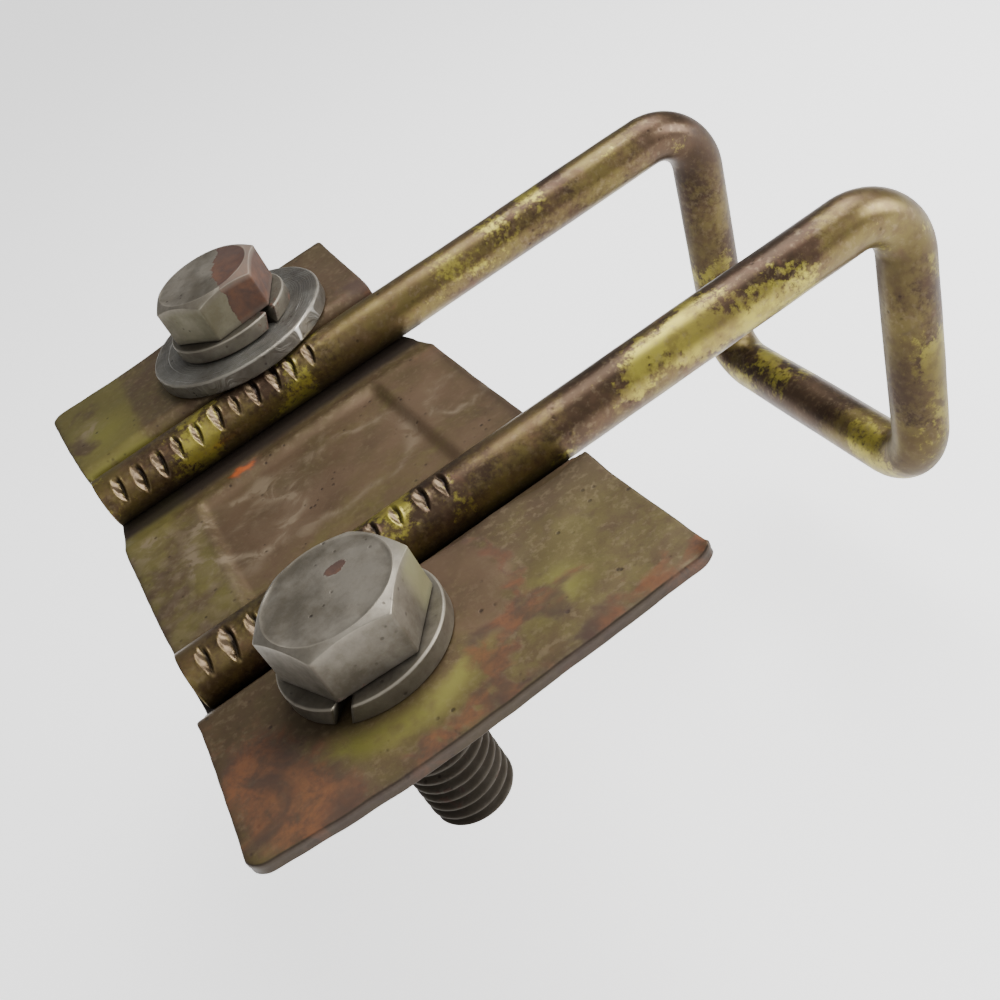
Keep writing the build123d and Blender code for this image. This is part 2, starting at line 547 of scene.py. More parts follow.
@dataclass(frozen=True)
class PlatedFinish:
    """Yellow passivated zinc, patchy, stained and rusting."""

    name: str
    base: Colour
    tint: Colour
    shade: Colour
    patch_scale: float = 55.0
    tint_level: float = 0.56
    shade_level: float = 0.5
    grain: float = 0.25
    softness: float = 0.08
    metallic: float = 0.6
    roughness: float = 0.42
    bump: float = 0.25
    second_place: tuple[float, float, float] = (0.37, 0.11, 0.53)
    mottle_tint: Colour = srgb(80, 60, 46)
    freckle_tint: Colour = srgb(134, 118, 92)
    brown_tint: Colour = srgb(104, 83, 64)
    # Fresh plating, and painted light on the plate's far lip and panel end.
    clean_and_lit_tint: Colour = srgb(120, 116, 54)
    pale_tint: Colour = srgb(142, 126, 104)
    pit_tint: Colour = srgb(38, 28, 22)
    edge_tint: Colour = srgb(42, 32, 28)
    flake_tint: Colour = srgb(148, 70, 20)
    bare_tint: Colour = srgb(104, 88, 68)
    hollow_tint: Colour = srgb(26, 19, 15)
    # Painted shade, with some dirt.
    shade_grime_tint: Colour = srgb(34, 25, 20)

    def make(self, shared: SharedEffects) -> bpy.types.Material:
        """Builds the material: patches, then stains, then rust, then the cut places and the painted shade,
        which also carries some dirt.

        Args:
            shared: The shared node groups.

        Returns:
            The material.
        """
        material = bpy.data.materials.new(self.name)
        material.use_nodes = True
        g = Graph(material.node_tree)
        place = g.node("ShaderNodeTexCoord").outputs["Object"]
        moved = g.node("ShaderNodeMapping", {"Vector": place, "Location": self.second_place}).outputs[0]
        dark = g.group(shared.patches, Vector=place, Scale=self.patch_scale * 0.8, Grain=self.grain,
                       Level=self.shade_level, Softness=self.softness * 2).outputs["Mask"]
        light = g.group(shared.patches, Vector=moved, Scale=self.patch_scale, Grain=self.grain,
                        Level=self.tint_level, Softness=self.softness).outputs["Mask"]
        mottle = g.noise(place, 520.0, 5.0, 0.65)
        freckle = g.ramp(g.noise(place, 1500.0, 3.0, 0.6), 0.5, 0.7)
        brown = g.times(g.mask(Mask.BROWN), g.ramp(g.noise(place, 160.0, 4.0), 0.25, 0.6))
        clean = g.times(g.mask(Mask.CLEAN_AND_LIT), g.ramp(g.noise(moved, 170.0, 4.0), 0.36, 0.52))
        streaks = g.ramp(g.noise(place, 300.0, 6.0, 0.6, 1.2), 0.42, 0.6)
        pale = g.math("MULTIPLY", g.mask(Mask.PALE), g.add(0.25, streaks), clamp=True)
        pits = g.group(shared.pits, Vector=place)
        grime = g.mask(Mask.SHADE_GRIME)
        colour = g.mix(dark, self.base, self.shade)
        for mask, strength, tint in ((light, 0.85, self.tint),
                                     (g.ramp(mottle, 0.42, 0.64), 0.5, self.mottle_tint),
                                     (freckle, 0.3, self.freckle_tint),
                                     (brown, 0.75, self.brown_tint),
                                     (clean, 0.85, self.clean_and_lit_tint),
                                     (pale, 0.7, self.pale_tint),
                                     (pits.outputs["Pits"], 0.7, self.pit_tint),
                                     (g.mask(Mask.EDGE), 0.85, self.edge_tint)):
            colour = g.coat(colour, mask, strength, tint)
        speck = g.ramp(g.noise(moved, 240.0, 5.0, 0.7), 0.62, 0.75)
        rust = g.group(shared.rust, Vector=place, Amount=g.add(g.mask(Mask.RUST), g.times(speck, 0.2)))
        rusty = g.times(rust.outputs["Mask"], 0.85)
        colour = g.mix(rusty, colour, rust.outputs["Color"])
        # The last coat is painted shade, with some dirt.
        for mask, strength, tint in ((g.mask(Mask.FLAKE), 1.0, self.flake_tint),
                                     (g.mask(Mask.BARE), 1.0, self.bare_tint),
                                     (g.mask(Mask.HOLLOW), 0.9, self.hollow_tint),
                                     (grime, 0.9, self.shade_grime_tint)):
            colour = g.coat(colour, mask, strength, tint)
        dull = g.add(g.times(rusty, 0.35), g.times(grime, 0.3), clamp=True)
        rough = g.add(g.add(self.roughness, g.times(mottle, 0.12)), dull)
        metal = g.math("SUBTRACT", self.metallic, g.times(rusty, self.metallic), clamp=True)
        height = g.add(pits.outputs["Height"], g.times(rusty, 0.5))
        g.finish(colour, metal, rough, height, self.bump)
        return material


@dataclass(frozen=True)
class SteelFinish:
    """Dull grey zinc plated steel with pits and rust, and turned swirl marks if wanted."""

    name: str
    base: Colour
    shade: Colour
    centre: tuple[float, float] = (0.0, 0.0)
    swirl: float = 0.0
    metallic: float = 0.75
    roughness: float = 0.42
    bump: float = 0.3
    mottle_tint: Colour = srgb(88, 80, 66)
    pit_tint: Colour = srgb(40, 32, 27)
    # Painted light on one side of the bolt heads.
    clean_and_lit_tint: Colour = srgb(150, 148, 112)
    rust_tint: Colour = srgb(44, 18, 13)
    edge_tint: Colour = srgb(178, 170, 154)
    # Painted shade under heads and washers, with some dirt.
    shade_grime_tint: Colour = srgb(42, 36, 30)
    scratch_tint: Colour = srgb(224, 222, 216)

    def make(self, shared: SharedEffects) -> bpy.types.Material:
        """Builds the material: dull patches, then pits and swirl, then painted light on one side, then
        rust, bright edges and painted shade.

        Args:
            shared: The shared node groups.

        Returns:
            The material.
        """
        material = bpy.data.materials.new(self.name)
        material.use_nodes = True
        g = Graph(material.node_tree)
        place = g.node("ShaderNodeTexCoord").outputs["Object"]
        wear = g.group(shared.patches, Vector=place, Scale=170.0, Grain=0.3, Level=0.5,
                       Softness=0.25).outputs["Mask"]
        mottle = g.noise(place, 700.0, 5.0, 0.7)
        pits = g.group(shared.pits, Vector=place, Scale=1100.0).outputs
        colour = g.mix(wear, self.base, self.shade)
        colour = g.coat(colour, g.ramp(mottle, 0.4, 0.75), 0.4, self.mottle_tint)
        colour = g.coat(colour, pits["Pits"], 0.75, self.pit_tint)
        relief = pits["Height"]
        if self.swirl:
            relief, colour = self._add_swirl(g, place, relief, colour)
        # Painted light on one side of the bolt heads.
        colour = g.coat(colour, g.mask(Mask.CLEAN_AND_LIT), 0.8, self.clean_and_lit_tint)
        rust = g.group(shared.rust, Vector=place, Amount=g.times(g.mask(Mask.RUST), 1.35)).outputs
        speck = g.times(g.noise(place, 800.0, 5.0, 0.75), 1.5)
        rusty = g.ramp(g.add(rust["Mask"], speck), 1.15, 1.35)
        # Painted shade under the heads and washers, with some dirt.
        grime = g.mask(Mask.SHADE_GRIME)
        colour = g.coat(colour, rusty, 0.94, g.mix(0.5, rust["Color"], self.rust_tint))
        colour = g.coat(colour, g.mask(Mask.EDGE), 0.5, self.edge_tint)
        colour = g.coat(colour, grime, 0.9, self.shade_grime_tint)
        dull = g.add(g.times(rusty, 0.35), g.times(grime, 0.3))
        rough = g.add(g.add(self.roughness, g.times(mottle, 0.15)), dull, clamp=True)
        metal = g.math("SUBTRACT", self.metallic, g.times(rusty, self.metallic), clamp=True)
        g.finish(colour, metal, rough, g.add(relief, rusty), self.bump)
        return material

    def _add_swirl(self, g: Graph, place: Value, relief: Value, colour: Value) -> tuple[Value, Value]:
        """Adds fine rings round the washer's axis: noise of the distance from the axis, bent a little.

        Args:
            g: The material's graph.
            place: Object coordinates.
            relief: Height so far.
            colour: Colour so far.

        Returns:
            The new height and colour.
        """
        part = g.node("ShaderNodeSeparateXYZ", {0: place}).outputs
        dx = g.math("SUBTRACT", part[0], self.centre[0])
        dy = g.math("SUBTRACT", part[1], self.centre[1])
        radius = g.math("SQRT", g.add(g.times(dx, dx), g.times(dy, dy)))
        bent = g.add(radius, g.times(g.noise(place, 120.0, 2.0), 0.0022))
        around = g.node("ShaderNodeCombineXYZ", {0: bent, 1: g.times(part[0], 0.03)}).outputs[0]
        rings = g.noise(around, 5200.0, 3.0, 0.7)
        scratch = g.times(g.ramp(rings, 0.58, 0.7), g.ramp(g.noise(place, 110.0, 3.0), 0.4, 0.6))
        relief = g.add(relief, g.times(g.ramp(rings, 0.35, 0.7), 2.2 * self.swirl))
        return relief, g.coat(colour, scratch, 0.85, self.scratch_tint)


# ---------------------------------------------------------------------------------------------
# The places and shared sizes


@dataclass(frozen=True)
class Layout:
    """Places in millimetres, read from the CAD nodes' boxes and the record's joints."""

    rod_r: float
    rod_z: float
    bar_z: float
    legs: dict[Side, float]
    leg_ends: dict[Side, float]
    rod_right: float
    bolts: dict[Side, tuple[float, float]]
    bearing: dict[Side, float]
    tips: dict[Side, float]
    edges: dict[Side, float]
    flange_top: float
    flat_r: float
    spring_r: float

    @staticmethod
    def read(frame: dict, head_h: float, rod_d: float, end_step: float) -> "Layout":
        """Works the places out.

        Args:
            head_h: Height of a bolt's head.
            rod_d: The rod's diameter.
            end_step: How much further left the far leg starts than the near one.

        Returns:
            The layout.
        """
        def mm(node: str) -> tuple[np.ndarray, np.ndarray]:
            """Gives a node's box in millimetres."""
            low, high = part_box(node)
            return np.array(low) / MM, np.array(high) / MM

        rod_low, rod_high = mm("hook_rod")
        plate_low, plate_high = mm("mounting_plate")
        near_low, near_high = mm("near_bolt")
        far_low, far_high = mm("far_bolt")
        flat_low, flat_high = mm("far_flat_washer")
        ring_low, ring_high = mm("near_spring_washer")
        r = rod_d / 2
        hinges = {j["name"]: j["pos_m"] for j in frame["joints"] if j["type"] == "hinge"}
        return Layout(
            rod_r=r,
            rod_z=rod_high[2] - r,
            bar_z=rod_low[2] + r,
            legs={Side.NEAR: rod_low[1] + r, Side.FAR: rod_high[1] - r},
            leg_ends={Side.NEAR: rod_low[0] + end_step, Side.FAR: rod_low[0]},
            rod_right=rod_high[0],
            bolts={Side.NEAR: tuple(v / MM for v in hinges["near_turn"][:2]),
                   Side.FAR: tuple(v / MM for v in hinges["far_turn"][:2])},
            bearing={Side.NEAR: near_high[2] - head_h, Side.FAR: far_high[2] - head_h},
            tips={Side.NEAR: near_low[2], Side.FAR: far_low[2]},
            edges={Side.NEAR: plate_low[1], Side.FAR: plate_high[1]},
            flange_top=plate_high[2],
            flat_r=(flat_high[0] - flat_low[0]) / 2,
            spring_r=(ring_high[0] - ring_low[0]) / 2,
        )


# ---------------------------------------------------------------------------------------------
# Plate


class FoldedLine:
    """A polyline with rounded corners in the y-z plane, followed by its arc length.

    Args:
        corners: Corner points, y and z.
        radii: Radius at each corner between the two ends.
    """

    def __init__(self, corners: np.ndarray, radii: list[float]) -> None:
        """Lays the straights and arcs end to end, each with the length at which it starts.

        Args:
            corners: Corner points, y and z.
            radii: Radius at each corner between the two ends.
        """
        units = np.diff(corners, axis=0)
        units = units / np.linalg.norm(units, axis=1, keepdims=True)
        self.pieces: list[tuple[float, float, np.ndarray, np.ndarray, float]] = []
        at, place = 0.0, corners[0]
        for k, unit in enumerate(units):
            bend, reach = 0.0, 0.0
            if k < len(radii):
                following = units[k + 1]
                bend = math.atan2(unit[0] * following[1] - unit[1] * following[0], unit @ following)
                reach = radii[k] * math.tan(abs(bend) / 2)
            end = corners[k + 1] - unit * reach
            run = float(np.linalg.norm(end - place))
            self.pieces.append((at, run, place, unit, 0.0))
            at += run
            if k < len(radii):
                turn = math.copysign(1 / radii[k], bend)
                self.pieces.append((at, radii[k] * abs(bend), end, unit, turn))
                at += radii[k] * abs(bend)
                place = corners[k + 1] + following * reach
        self.length = at

    def at(self, s: np.ndarray) -> tuple[np.ndarray, np.ndarray]:
        """Gives the point and the upward normal at each arc length.

        On a straight the point moves along the unit vector, and on an arc the direction turns by
        the length gone over the radius.

        Args:
            s: Arc lengths.

        Returns:
            Points and normals, each with y and z last.
        """
        point = np.zeros((*s.shape, 2))
        normal = np.zeros((*s.shape, 2))
        last = len(self.pieces) - 1
        for k, (start, run, place, unit, turn) in enumerate(self.pieces):
            low = start if k else -math.inf
            high = start + run if k < last else math.inf
            here = (s >= low) & (s < high)
            gone = s[here] - start
            side = np.array([-unit[1], unit[0]])
            if turn:
                angle = gone * turn
                ahead, aside = np.sin(angle) / turn, (1 - np.cos(angle)) / turn
                point[here] = place + np.outer(ahead, unit) + np.outer(aside, side)
                normal[here] = np.outer(np.cos(angle), side) - np.outer(np.sin(angle), unit)
            else:
                point[here] = place + np.outer(gone, unit)
                normal[here] = side
        return point, normal


# The plate's outline in millimetres: places along a side and how far the edge stands back there. A
# place on the left and right edge is a y, and on the near and far edge an x.
LEFT_EDGE = ((-44.9, -35, -27, -17, -3, 12.5, 20.5, 28, 36, 43.4),
             (0, 0.62, 1.0, 0.6, 0.22, 0.14, 0.9, 0.58, 0.17, 0))
RIGHT_EDGE = ((-44.9, -29.8, -24, -8, 13.5, 21, 30, 43.4), (0.33, 0.64, 0.5, -0.42, -0.15, 1.1, 0.8, 0.43))
NEAR_EDGE = ((-20.2, -15.5, -13, -8, 10, 15, 20.2), (1.2, 0.5, 0.2, 0, 0, 0.15, 0.35))
FAR_EDGE = ((-20.2, -14.5, -7, 20.2), (0.65, 0.3, 0, 0))

# Round stains on the plate in millimetres: x, y, radius and weight.
RUST_SPOTS = ((-15.6, -33.8, 3.2, 1.0), (-14.1, -40.1, 4.4, 1.25), (-11.4, -44.0, 3.6, 1.0),
              (17.3, 26.2, 3.0, 0.85), (20.0, 24.0, 2.5, 0.6), (-5.4, 14.7, 1.6, 0.8),
              (-3.6, 14.6, 1.2, 0.7), (20.5, -21.5, 3.0, 0.65), (-18.6, -28.0, 2.4, 0.5),
              (19.3, 11.8, 2.2, 0.5), (19.0, -3.0, 2.6, 0.35))
# A painted shadow left of the near washer, over some dark brown.
SHADOW_GRIME_SPOTS = ((-11.6, -35.2, 3.4, 0.45),)
CLEAN_SPOTS = ((10.5, -38.5, 2.8, 1.0), (15.0, -33.0, 4.5, 0.35), (-16.5, 31.0, 4.0, 0.5),
               (-14.0, 19.5, 1.2, 0.9))
BROWN_SPOTS = ((0.0, 36.0, 7.0, 0.5), (14.0, 34.0, 6.0, 0.6))
PALE_SPOTS = ((-2.0, 6.0, 3.2, 0.45), (-17.7, 11.8, 2.2, 0.7), (-11.8, 10.2, 1.5, 0.6),
              (-17.6, 33.6, 1.8, 0.8))
FLAKE_AT = (-5.4, 14.7)

# The cut edge from top to underside: how far in from the outline, and the share of the thickness.
CUT_EDGE = ((0.05, 0.05), (0.0, 0.17), (0.0, 0.4), (0.05, 0.62), (0.02, 0.93), (0.03, 0.985))


@dataclass
class Plate:
    """The pressed plate: one folded sheet with two grooves, two holes, dents, burrs and stains.

    The sheet is a grid over x and the length along the fold, so that holes and corners are worked
    out on the flat blank and then follow the fold.
    """

    layout: Layout
    length: float = 40.5
    sheet: float = 1.2
    skew: float = 0.031
    left_corner_r: float = 1.6
    right_corner_r: float = 0.6
    near_run: float = 9.2
    far_run: float = 3.3
    inner_run: float = 7.5
    panel_drop: float = 2.0
    seat_gap: float = 0.02
    lip_r: float = 1.5
    hole_r: float = 4.5
    recess: float = 0.6
    hole_cells: int = 12
    blend_cells: int = 19
    cell: float = 0.375
    outline_fade: float = 6.0
    top_inset: float = 0.16
    under_inset: float = 0.08
    recess_left: float = -11.7
    recess_right: float = 13.4
    lip_sag: float = 0.6
    lip_wave: float = 10.5
    rim_rise: float = 0.07
    burr_rise: float = 0.5
    burr_r: float = 0.7
    missing_washer_r: float = 12.6

    def __post_init__(self) -> None:
        """Folds the sheet, and finds how far lengths along it differ from y on the two flanges."""
        self.fold = self._fold()
        low, high = self.layout.edges[Side.NEAR], self.layout.edges[Side.FAR]
        self.shift = {Side.NEAR: -low, Side.FAR: self.fold.length - high}

    def _fold(self) -> FoldedLine:
        """Works out the top of the folded section.

        A groove's wall starts at a lip and lies tangent to the round seat, so its angle is the angle
        of the line from lip to axis plus the arc sine of seat radius over distance. Each groove's
        corner is where its two walls meet.

        Returns:
            The folded line, from the near edge to the far edge.
        """
        lay = self.layout
        seat = lay.rod_r + self.seat_gap
        top, panel = lay.flange_top, lay.rod_z - self.panel_drop

        def slope(run: float, rise: float) -> float:
            """Gives the tangent of a wall's angle, from its lip's distance and height."""
            return math.tan(math.asin(seat / math.hypot(run, rise)) + math.atan2(rise, run))

        inner = slope(self.inner_run, -self.panel_drop)

        def groove(run: float) -> tuple[float, float]:
            """Gives how far out from the axis a groove's corner lies, and its height."""
            outer = slope(run, top - lay.rod_z)
            out = (run * outer - self.inner_run * inner - top + panel) / (outer + inner)
            return out, top - (run - out) * outer

        near_out, near_low = groove(self.near_run)
        far_out, far_low = groove(self.far_run)
        near, far = lay.legs[Side.NEAR], lay.legs[Side.FAR]
        ys = [lay.edges[Side.NEAR], near - self.near_run, near - near_out, near + self.inner_run,
              far - self.inner_run, far + far_out, far + self.far_run, lay.edges[Side.FAR]]
        zs = [top, top, near_low, panel, panel, far_low, top, top]
        radii = [self.lip_r, seat, self.lip_r, self.lip_r, seat, self.lip_r]
        return FoldedLine(np.stack([ys, zs], -1), radii)

    def _lines(self) -> tuple[np.ndarray, np.ndarray, float]:
        """Lays out the grid lines, so that both holes stand on crossings of whole cells.

        Returns:
            Lines over x, lines along the fold, and the cell's width over x.
        """
        lay = self.layout
        hx, hy = lay.bolts[Side.FAR]
        cell = (hx + self.skew * hy) / self.hole_cells
        half = self.length / 2
        spare = 0.3
        count = int((half - spare) / cell)
        x = np.concatenate([[-half], np.arange(-count, count + 1) * cell, [half]])
        near, far = self.shift[Side.NEAR] - hy, self.shift[Side.FAR] + hy
        before = int((near - spare) / self.cell)
        after = int((self.fold.length - far - spare) / self.cell)
        zone_near = near + np.arange(-before, self.blend_cells + 1) * self.cell
        zone_far = far + np.arange(-self.blend_cells, after + 1) * self.cell
        steps = int((zone_far[0] - zone_near[-1]) / self.cell)
        middle = np.linspace(zone_near[-1], zone_far[0], steps)[1:-1]
        return x, np.concatenate([[0.0], zone_near, middle, zone_far, [self.fold.length]]), cell

    def _insets(self, px: np.ndarray, s: np.ndarray) -> tuple[np.ndarray, np.ndarray]:
        """Works out the shifts of the outline: the worn die leaves each edge a little off its line.

        The shift over x grows with the third power of the distance from the middle. The shift along
        the fold fades out over a few millimetres from the edge.

        Args:
            px: Place over x on the blank.
            s: Place along the fold.

        Returns:
            Shifts over x and along the fold.
        """
        y = self.fold.at(s)[0][..., 0]
        left, right = np.interp(y, *LEFT_EDGE), np.interp(y, *RIGHT_EDGE)
        front, back = np.interp(px, *NEAR_EDGE), np.interp(px, *FAR_EDGE)
        share = np.clip(np.abs(px) / (self.length / 2), 0, 1) ** 3
        dx = np.where(px < 0, left, -right) * share
        end = self.fold.length
        ds = front * smooth(s, self.outline_fade, 0.0) - back * smooth(s, end - self.outline_fade, end)
        return dx, ds

    def _plan(self) -> tuple[np.ndarray, np.ndarray, np.ndarray]:
        """Places each grid point on the blank, and tells which quads are sheet.

        Near a corner the square rings become circle arcs, which rounds it. Near a hole the square rings
        of cells become circles of the same size, which opens the hole, and turn back to squares outwards.

        Returns:
            Place over x, place along the fold, and True for each quad that is sheet.
        """
        lay = self.layout
        x_lines, s_lines, cell = self._lines()
        gx, gs = np.meshgrid(x_lines, s_lines, indexing="ij")
        half = self.length / 2
        r = np.where(gx < 0, self.left_corner_r, self.right_corner_r)
        middle = self.fold.length / 2
        a = (np.abs(gx) - (half - r)) / r
        b = (np.abs(gs - middle) - (middle - r)) / r
        corner = (a > 0) & (b > 0)
        ring = np.maximum(a, b)
        span = np.where(corner, np.hypot(a, b), 1)
        px = np.where(corner, np.sign(gx) * (half - r + r * a / span * ring), gx)
        s = np.where(corner, middle + np.sign(gs - middle) * (middle - r + r * b / span * ring), gs)
        dx, ds = self._insets(px, s)
        s = s + ds
        x = px + dx - self.skew * self.fold.at(s)[0][..., 0]
        keep = np.ones((len(x_lines) - 1, len(s_lines) - 1), bool)
        for side, (hx, hy) in lay.bolts.items():
            hs = hy + self.shift[side]
            u = (gx - (hx + self.skew * hy)) / cell
            v = (gs - hs) / self.cell
            ring = np.maximum(np.abs(u), np.abs(v))
            span = np.maximum(np.hypot(u, v), 1e-9)
            radius = ring * self.hole_r / self.hole_cells
            round_share = 1 - smooth(ring, self.hole_cells, self.blend_cells)
            near = ring < self.blend_cells
            x = np.where(near, x + round_share * (hx + u / span * radius - x), x)
            s = np.where(near, s + round_share * (hs + v / span * radius - s), s)
            inner = (ring[:-1, :-1] + ring[1:, 1:] + ring[:-1, 1:] + ring[1:, :-1]) / 4
            keep &= inner > self.hole_cells
        return x, s, keep

    def _dents(self, x: np.ndarray, y: np.ndarray) -> np.ndarray:
        """Works out the height added to the folded sheet.

        The parts are the middle panel's recess, a slow swell, the wavy lip beside the near groove, the
        raised rim beside the far groove and the burr at the near right corner. Nothing rises where a
        washer or the rod lies.

        Args:
            x: Places along x.
            y: Places along y.

        Returns:
            Heights.
        """
        lay = self.layout
        near, far = lay.legs[Side.NEAR], lay.legs[Side.FAR]
        panel_near, panel_far = near + self.inner_run, far - self.inner_run
        inside = smooth(y, panel_near - 0.5, panel_near + 2.0) * smooth(y, panel_far + 0.5, panel_far - 2.0)
        left = smooth(x, self.recess_left, self.recess_left + 1.2)
        right = smooth(x + 0.06 * y, self.recess_right, self.recess_right - 1.5)
        height = -self.recess * left * right * inside
        calm = np.ones_like(x)
        for (bx, by), r in zip(lay.bolts.values(), (lay.spring_r, lay.flat_r)):
            calm = calm * smooth(np.hypot(x - bx, y - by), r + 0.3, r + 3.5)
        groove = smooth(np.abs(y - near), 3.2, 5.0) * smooth(np.abs(y - far), 3.0, 4.2)
        swell = Ripple(4, 26.0)(x, y) * 0.11 + Ripple(9, 7.0)(x, y) * 0.022 - 0.1
        height = height + swell * calm * groove
        lip = hill(y - (near - self.near_run + 1.2), 1.6)
        wave = 0.5 + 0.5 * np.sin(2 * math.pi * (x - 3.0) / self.lip_wave)
        height = height - self.lip_sag * lip * wave * smooth(x, 4.0, 8.0)
        rim = smooth(np.abs(y - panel_far), 1.0, 0.2)
        height = height + self.rim_rise * rim * (0.6 + 0.4 * Ripple(17, 3.0)(x, y))
        tip_y = lay.edges[Side.NEAR] + 0.5
        tip_x = self.length / 2 - self.skew * lay.edges[Side.NEAR] - 0.5
        return height + self.burr_rise * hill(np.hypot(x - tip_x, y - tip_y), self.burr_r)

    def _stains(self, x: np.ndarray, y: np.ndarray) -> Masks:
        """Works out the stain masks, which also carry painted shade and painted light: bells round spots,
        rings and lines. The finish makes them ragged.

        Args:
            x: Places along x.
            y: Places along y.

        Returns:
            The masks.
        """
        lay = self.layout
        near, far = lay.legs[Side.NEAR], lay.legs[Side.FAR]
        middle = (near + far) / 2
        panel_near = near + self.inner_run
        bx, by = lay.bolts[Side.NEAR]
        front = lay.edges[Side.NEAR]
        ripple, fine = Ripple(21, 9.0)(x, y), Ripple(22, 3.2)(x, y)
        from_bolt = np.hypot(x - bx, y - by)
        on_panel = smooth(np.abs(y - middle), 11.6, 10.0)
        washer_r = self.missing_washer_r

        along_edge = hill(y - front - 0.9 - 0.9 * fine, 1.5) * smooth(x, -9.0, -2.0) * (0.75 + 0.4 * ripple)
        band = hill(y + 38.6 - 1.2 * ripple, 1.6) * smooth(x, 0.0, 3.0) * smooth(x, 16.0, 11.0)
        beside = smooth(x - 0.4 * (y - by), bx + 2.0, bx + 8.0)
        round_washer = hill(from_bolt - washer_r - 0.5 * fine, 0.8) * beside
        rust = spots(x, y, RUST_SPOTS) + along_edge + 0.9 * band + 0.75 * round_washer

        # Painted shade in both grooves beside the rods, with some dirt, and the painted shadow left of the
        # near washer.
        far_groove = smooth(y, far + 2.3, far + 1.6) * smooth(y, far - 6.2, far - 4.2)
        near_groove = smooth(np.abs(y - near), 4.0, 3.2)
        grime = spots(x, y, SHADOW_GRIME_SPOTS) + far_groove + near_groove

        # The spots and the ring round the near bolt are fresh yellow-green plating; panel_end is a painted
        # light on the panel's left end, and far_lip a painted highlight on the far lip's bend.
        ring = hill(from_bolt - 9.6, 1.3) * smooth(y, by - 4.0, by - 8.0)
        panel_end = smooth(x, -11.4, -12.6) * smooth(y, panel_near, panel_near + 3)
        far_lip = hill(y - far - 2.9, 0.45) * smooth(x, -7.0, -12.0)
        clean = spots(x, y, CLEAN_SPOTS) + ring + 0.5 * panel_end + 1.2 * far_lip

        panel = smooth(x, -11.2, -10.7) * on_panel
        covered = smooth(from_bolt + 0.4 * fine, washer_r, washer_r - 0.6)
        covered = covered * smooth(x + 0.8 * (y - by), bx + 1.0, bx + 3.5)
        brown = spots(x, y, BROWN_SPOTS) + panel + 1.1 * covered

        left_loop = hill(np.hypot(x + 8.0, y - 4.5) - 6.2 - 0.9 * ripple, 0.8)
        right_loop = hill(np.hypot(x - 18.1, y - 2.5) - 3.4 - 0.3 * fine, 0.5)
        long_loop = hill(np.hypot((x - 3.0) / 1.5, y - 3.0) - 6.0 - 0.8 * ripple, 0.6)
        streak = hill(y - 9.5 - 0.35 * x - ripple, 0.7) * smooth(x, 8.0, 2.0) * smooth(x, -14.0, -8.0)
        # step is a painted light over the panel's left end, beyond the crease.
        step = smooth(x, -10.9, -11.3) * on_panel * (0.22 + 0.1 * fine)
        pale = spots(x, y, PALE_SPOTS) + 0.9 * left_loop + 0.7 * right_loop + 0.5 * streak + step
        pale = pale + 0.6 * long_loop * smooth(x, -9.0, -2.0)

        flake = np.hypot((x - FLAKE_AT[0]) / 1.5, y - FLAKE_AT[1]) + 0.25 * fine
        return {Mask.RUST: rust, Mask.SHADE_GRIME: grime, Mask.CLEAN_AND_LIT: clean, Mask.BROWN: brown,
                Mask.PALE: pale, Mask.FLAKE: smooth(flake, 0.95, 0.6)}

    def build(self) -> bpy.types.Object:
        """Builds the plate: top, underside, the cut edge round the outline and the two hole walls.

        Returns:
            The plate's object.
        """
        x, s, keep = self._plan()
        rows, cols = x.shape
        loop = [(i, 0) for i in range(rows)] + [(rows - 1, j) for j in range(1, cols)]
        loop += [(i, cols - 1) for i in range(rows - 2, -1, -1)]
        loop += [(0, j) for j in range(cols - 2, 0, -1)]
        li, lj = np.array(loop).T
        out_x, out_s = x[li, lj], s[li, lj]
        tx = np.roll(out_x, -1) - np.roll(out_x, 1)
        ts = np.roll(out_s, -1) - np.roll(out_s, 1)
        span = np.hypot(tx, ts)
        nx, ns = ts / span, -tx / span
        nick = np.clip(0.04 + 0.015 * Ripple(31, 4.0)(out_x, out_s), 0, 0.2)

        def sheet_at(px: np.ndarray, ps: np.ndarray, depth: float) -> np.ndarray:
            """Gives points on the folded, dented sheet.

            Args:
                px: Places over x.
                ps: Places along the fold.
                depth: How far below the sheet's top, along its normal.

            Returns:
                Points.
            """
            point, normal = self.fold.at(ps)
            rise = self._dents(px, point[..., 0]) - depth
            return np.concatenate([px[..., None], point + normal * rise[..., None]], -1)

        def moved(inset: float) -> tuple[np.ndarray, np.ndarray]:
            """Gives the grid with its outline moved in.

            Args:
                inset: How far in, besides the small nicks.

            Returns:
                Places over x and along the fold.
            """
            gx, gs = x.copy(), s.copy()
            gx[li, lj] = out_x - nx * (inset + nick)
            gs[li, lj] = out_s - ns * (inset + nick)
            return gx, gs

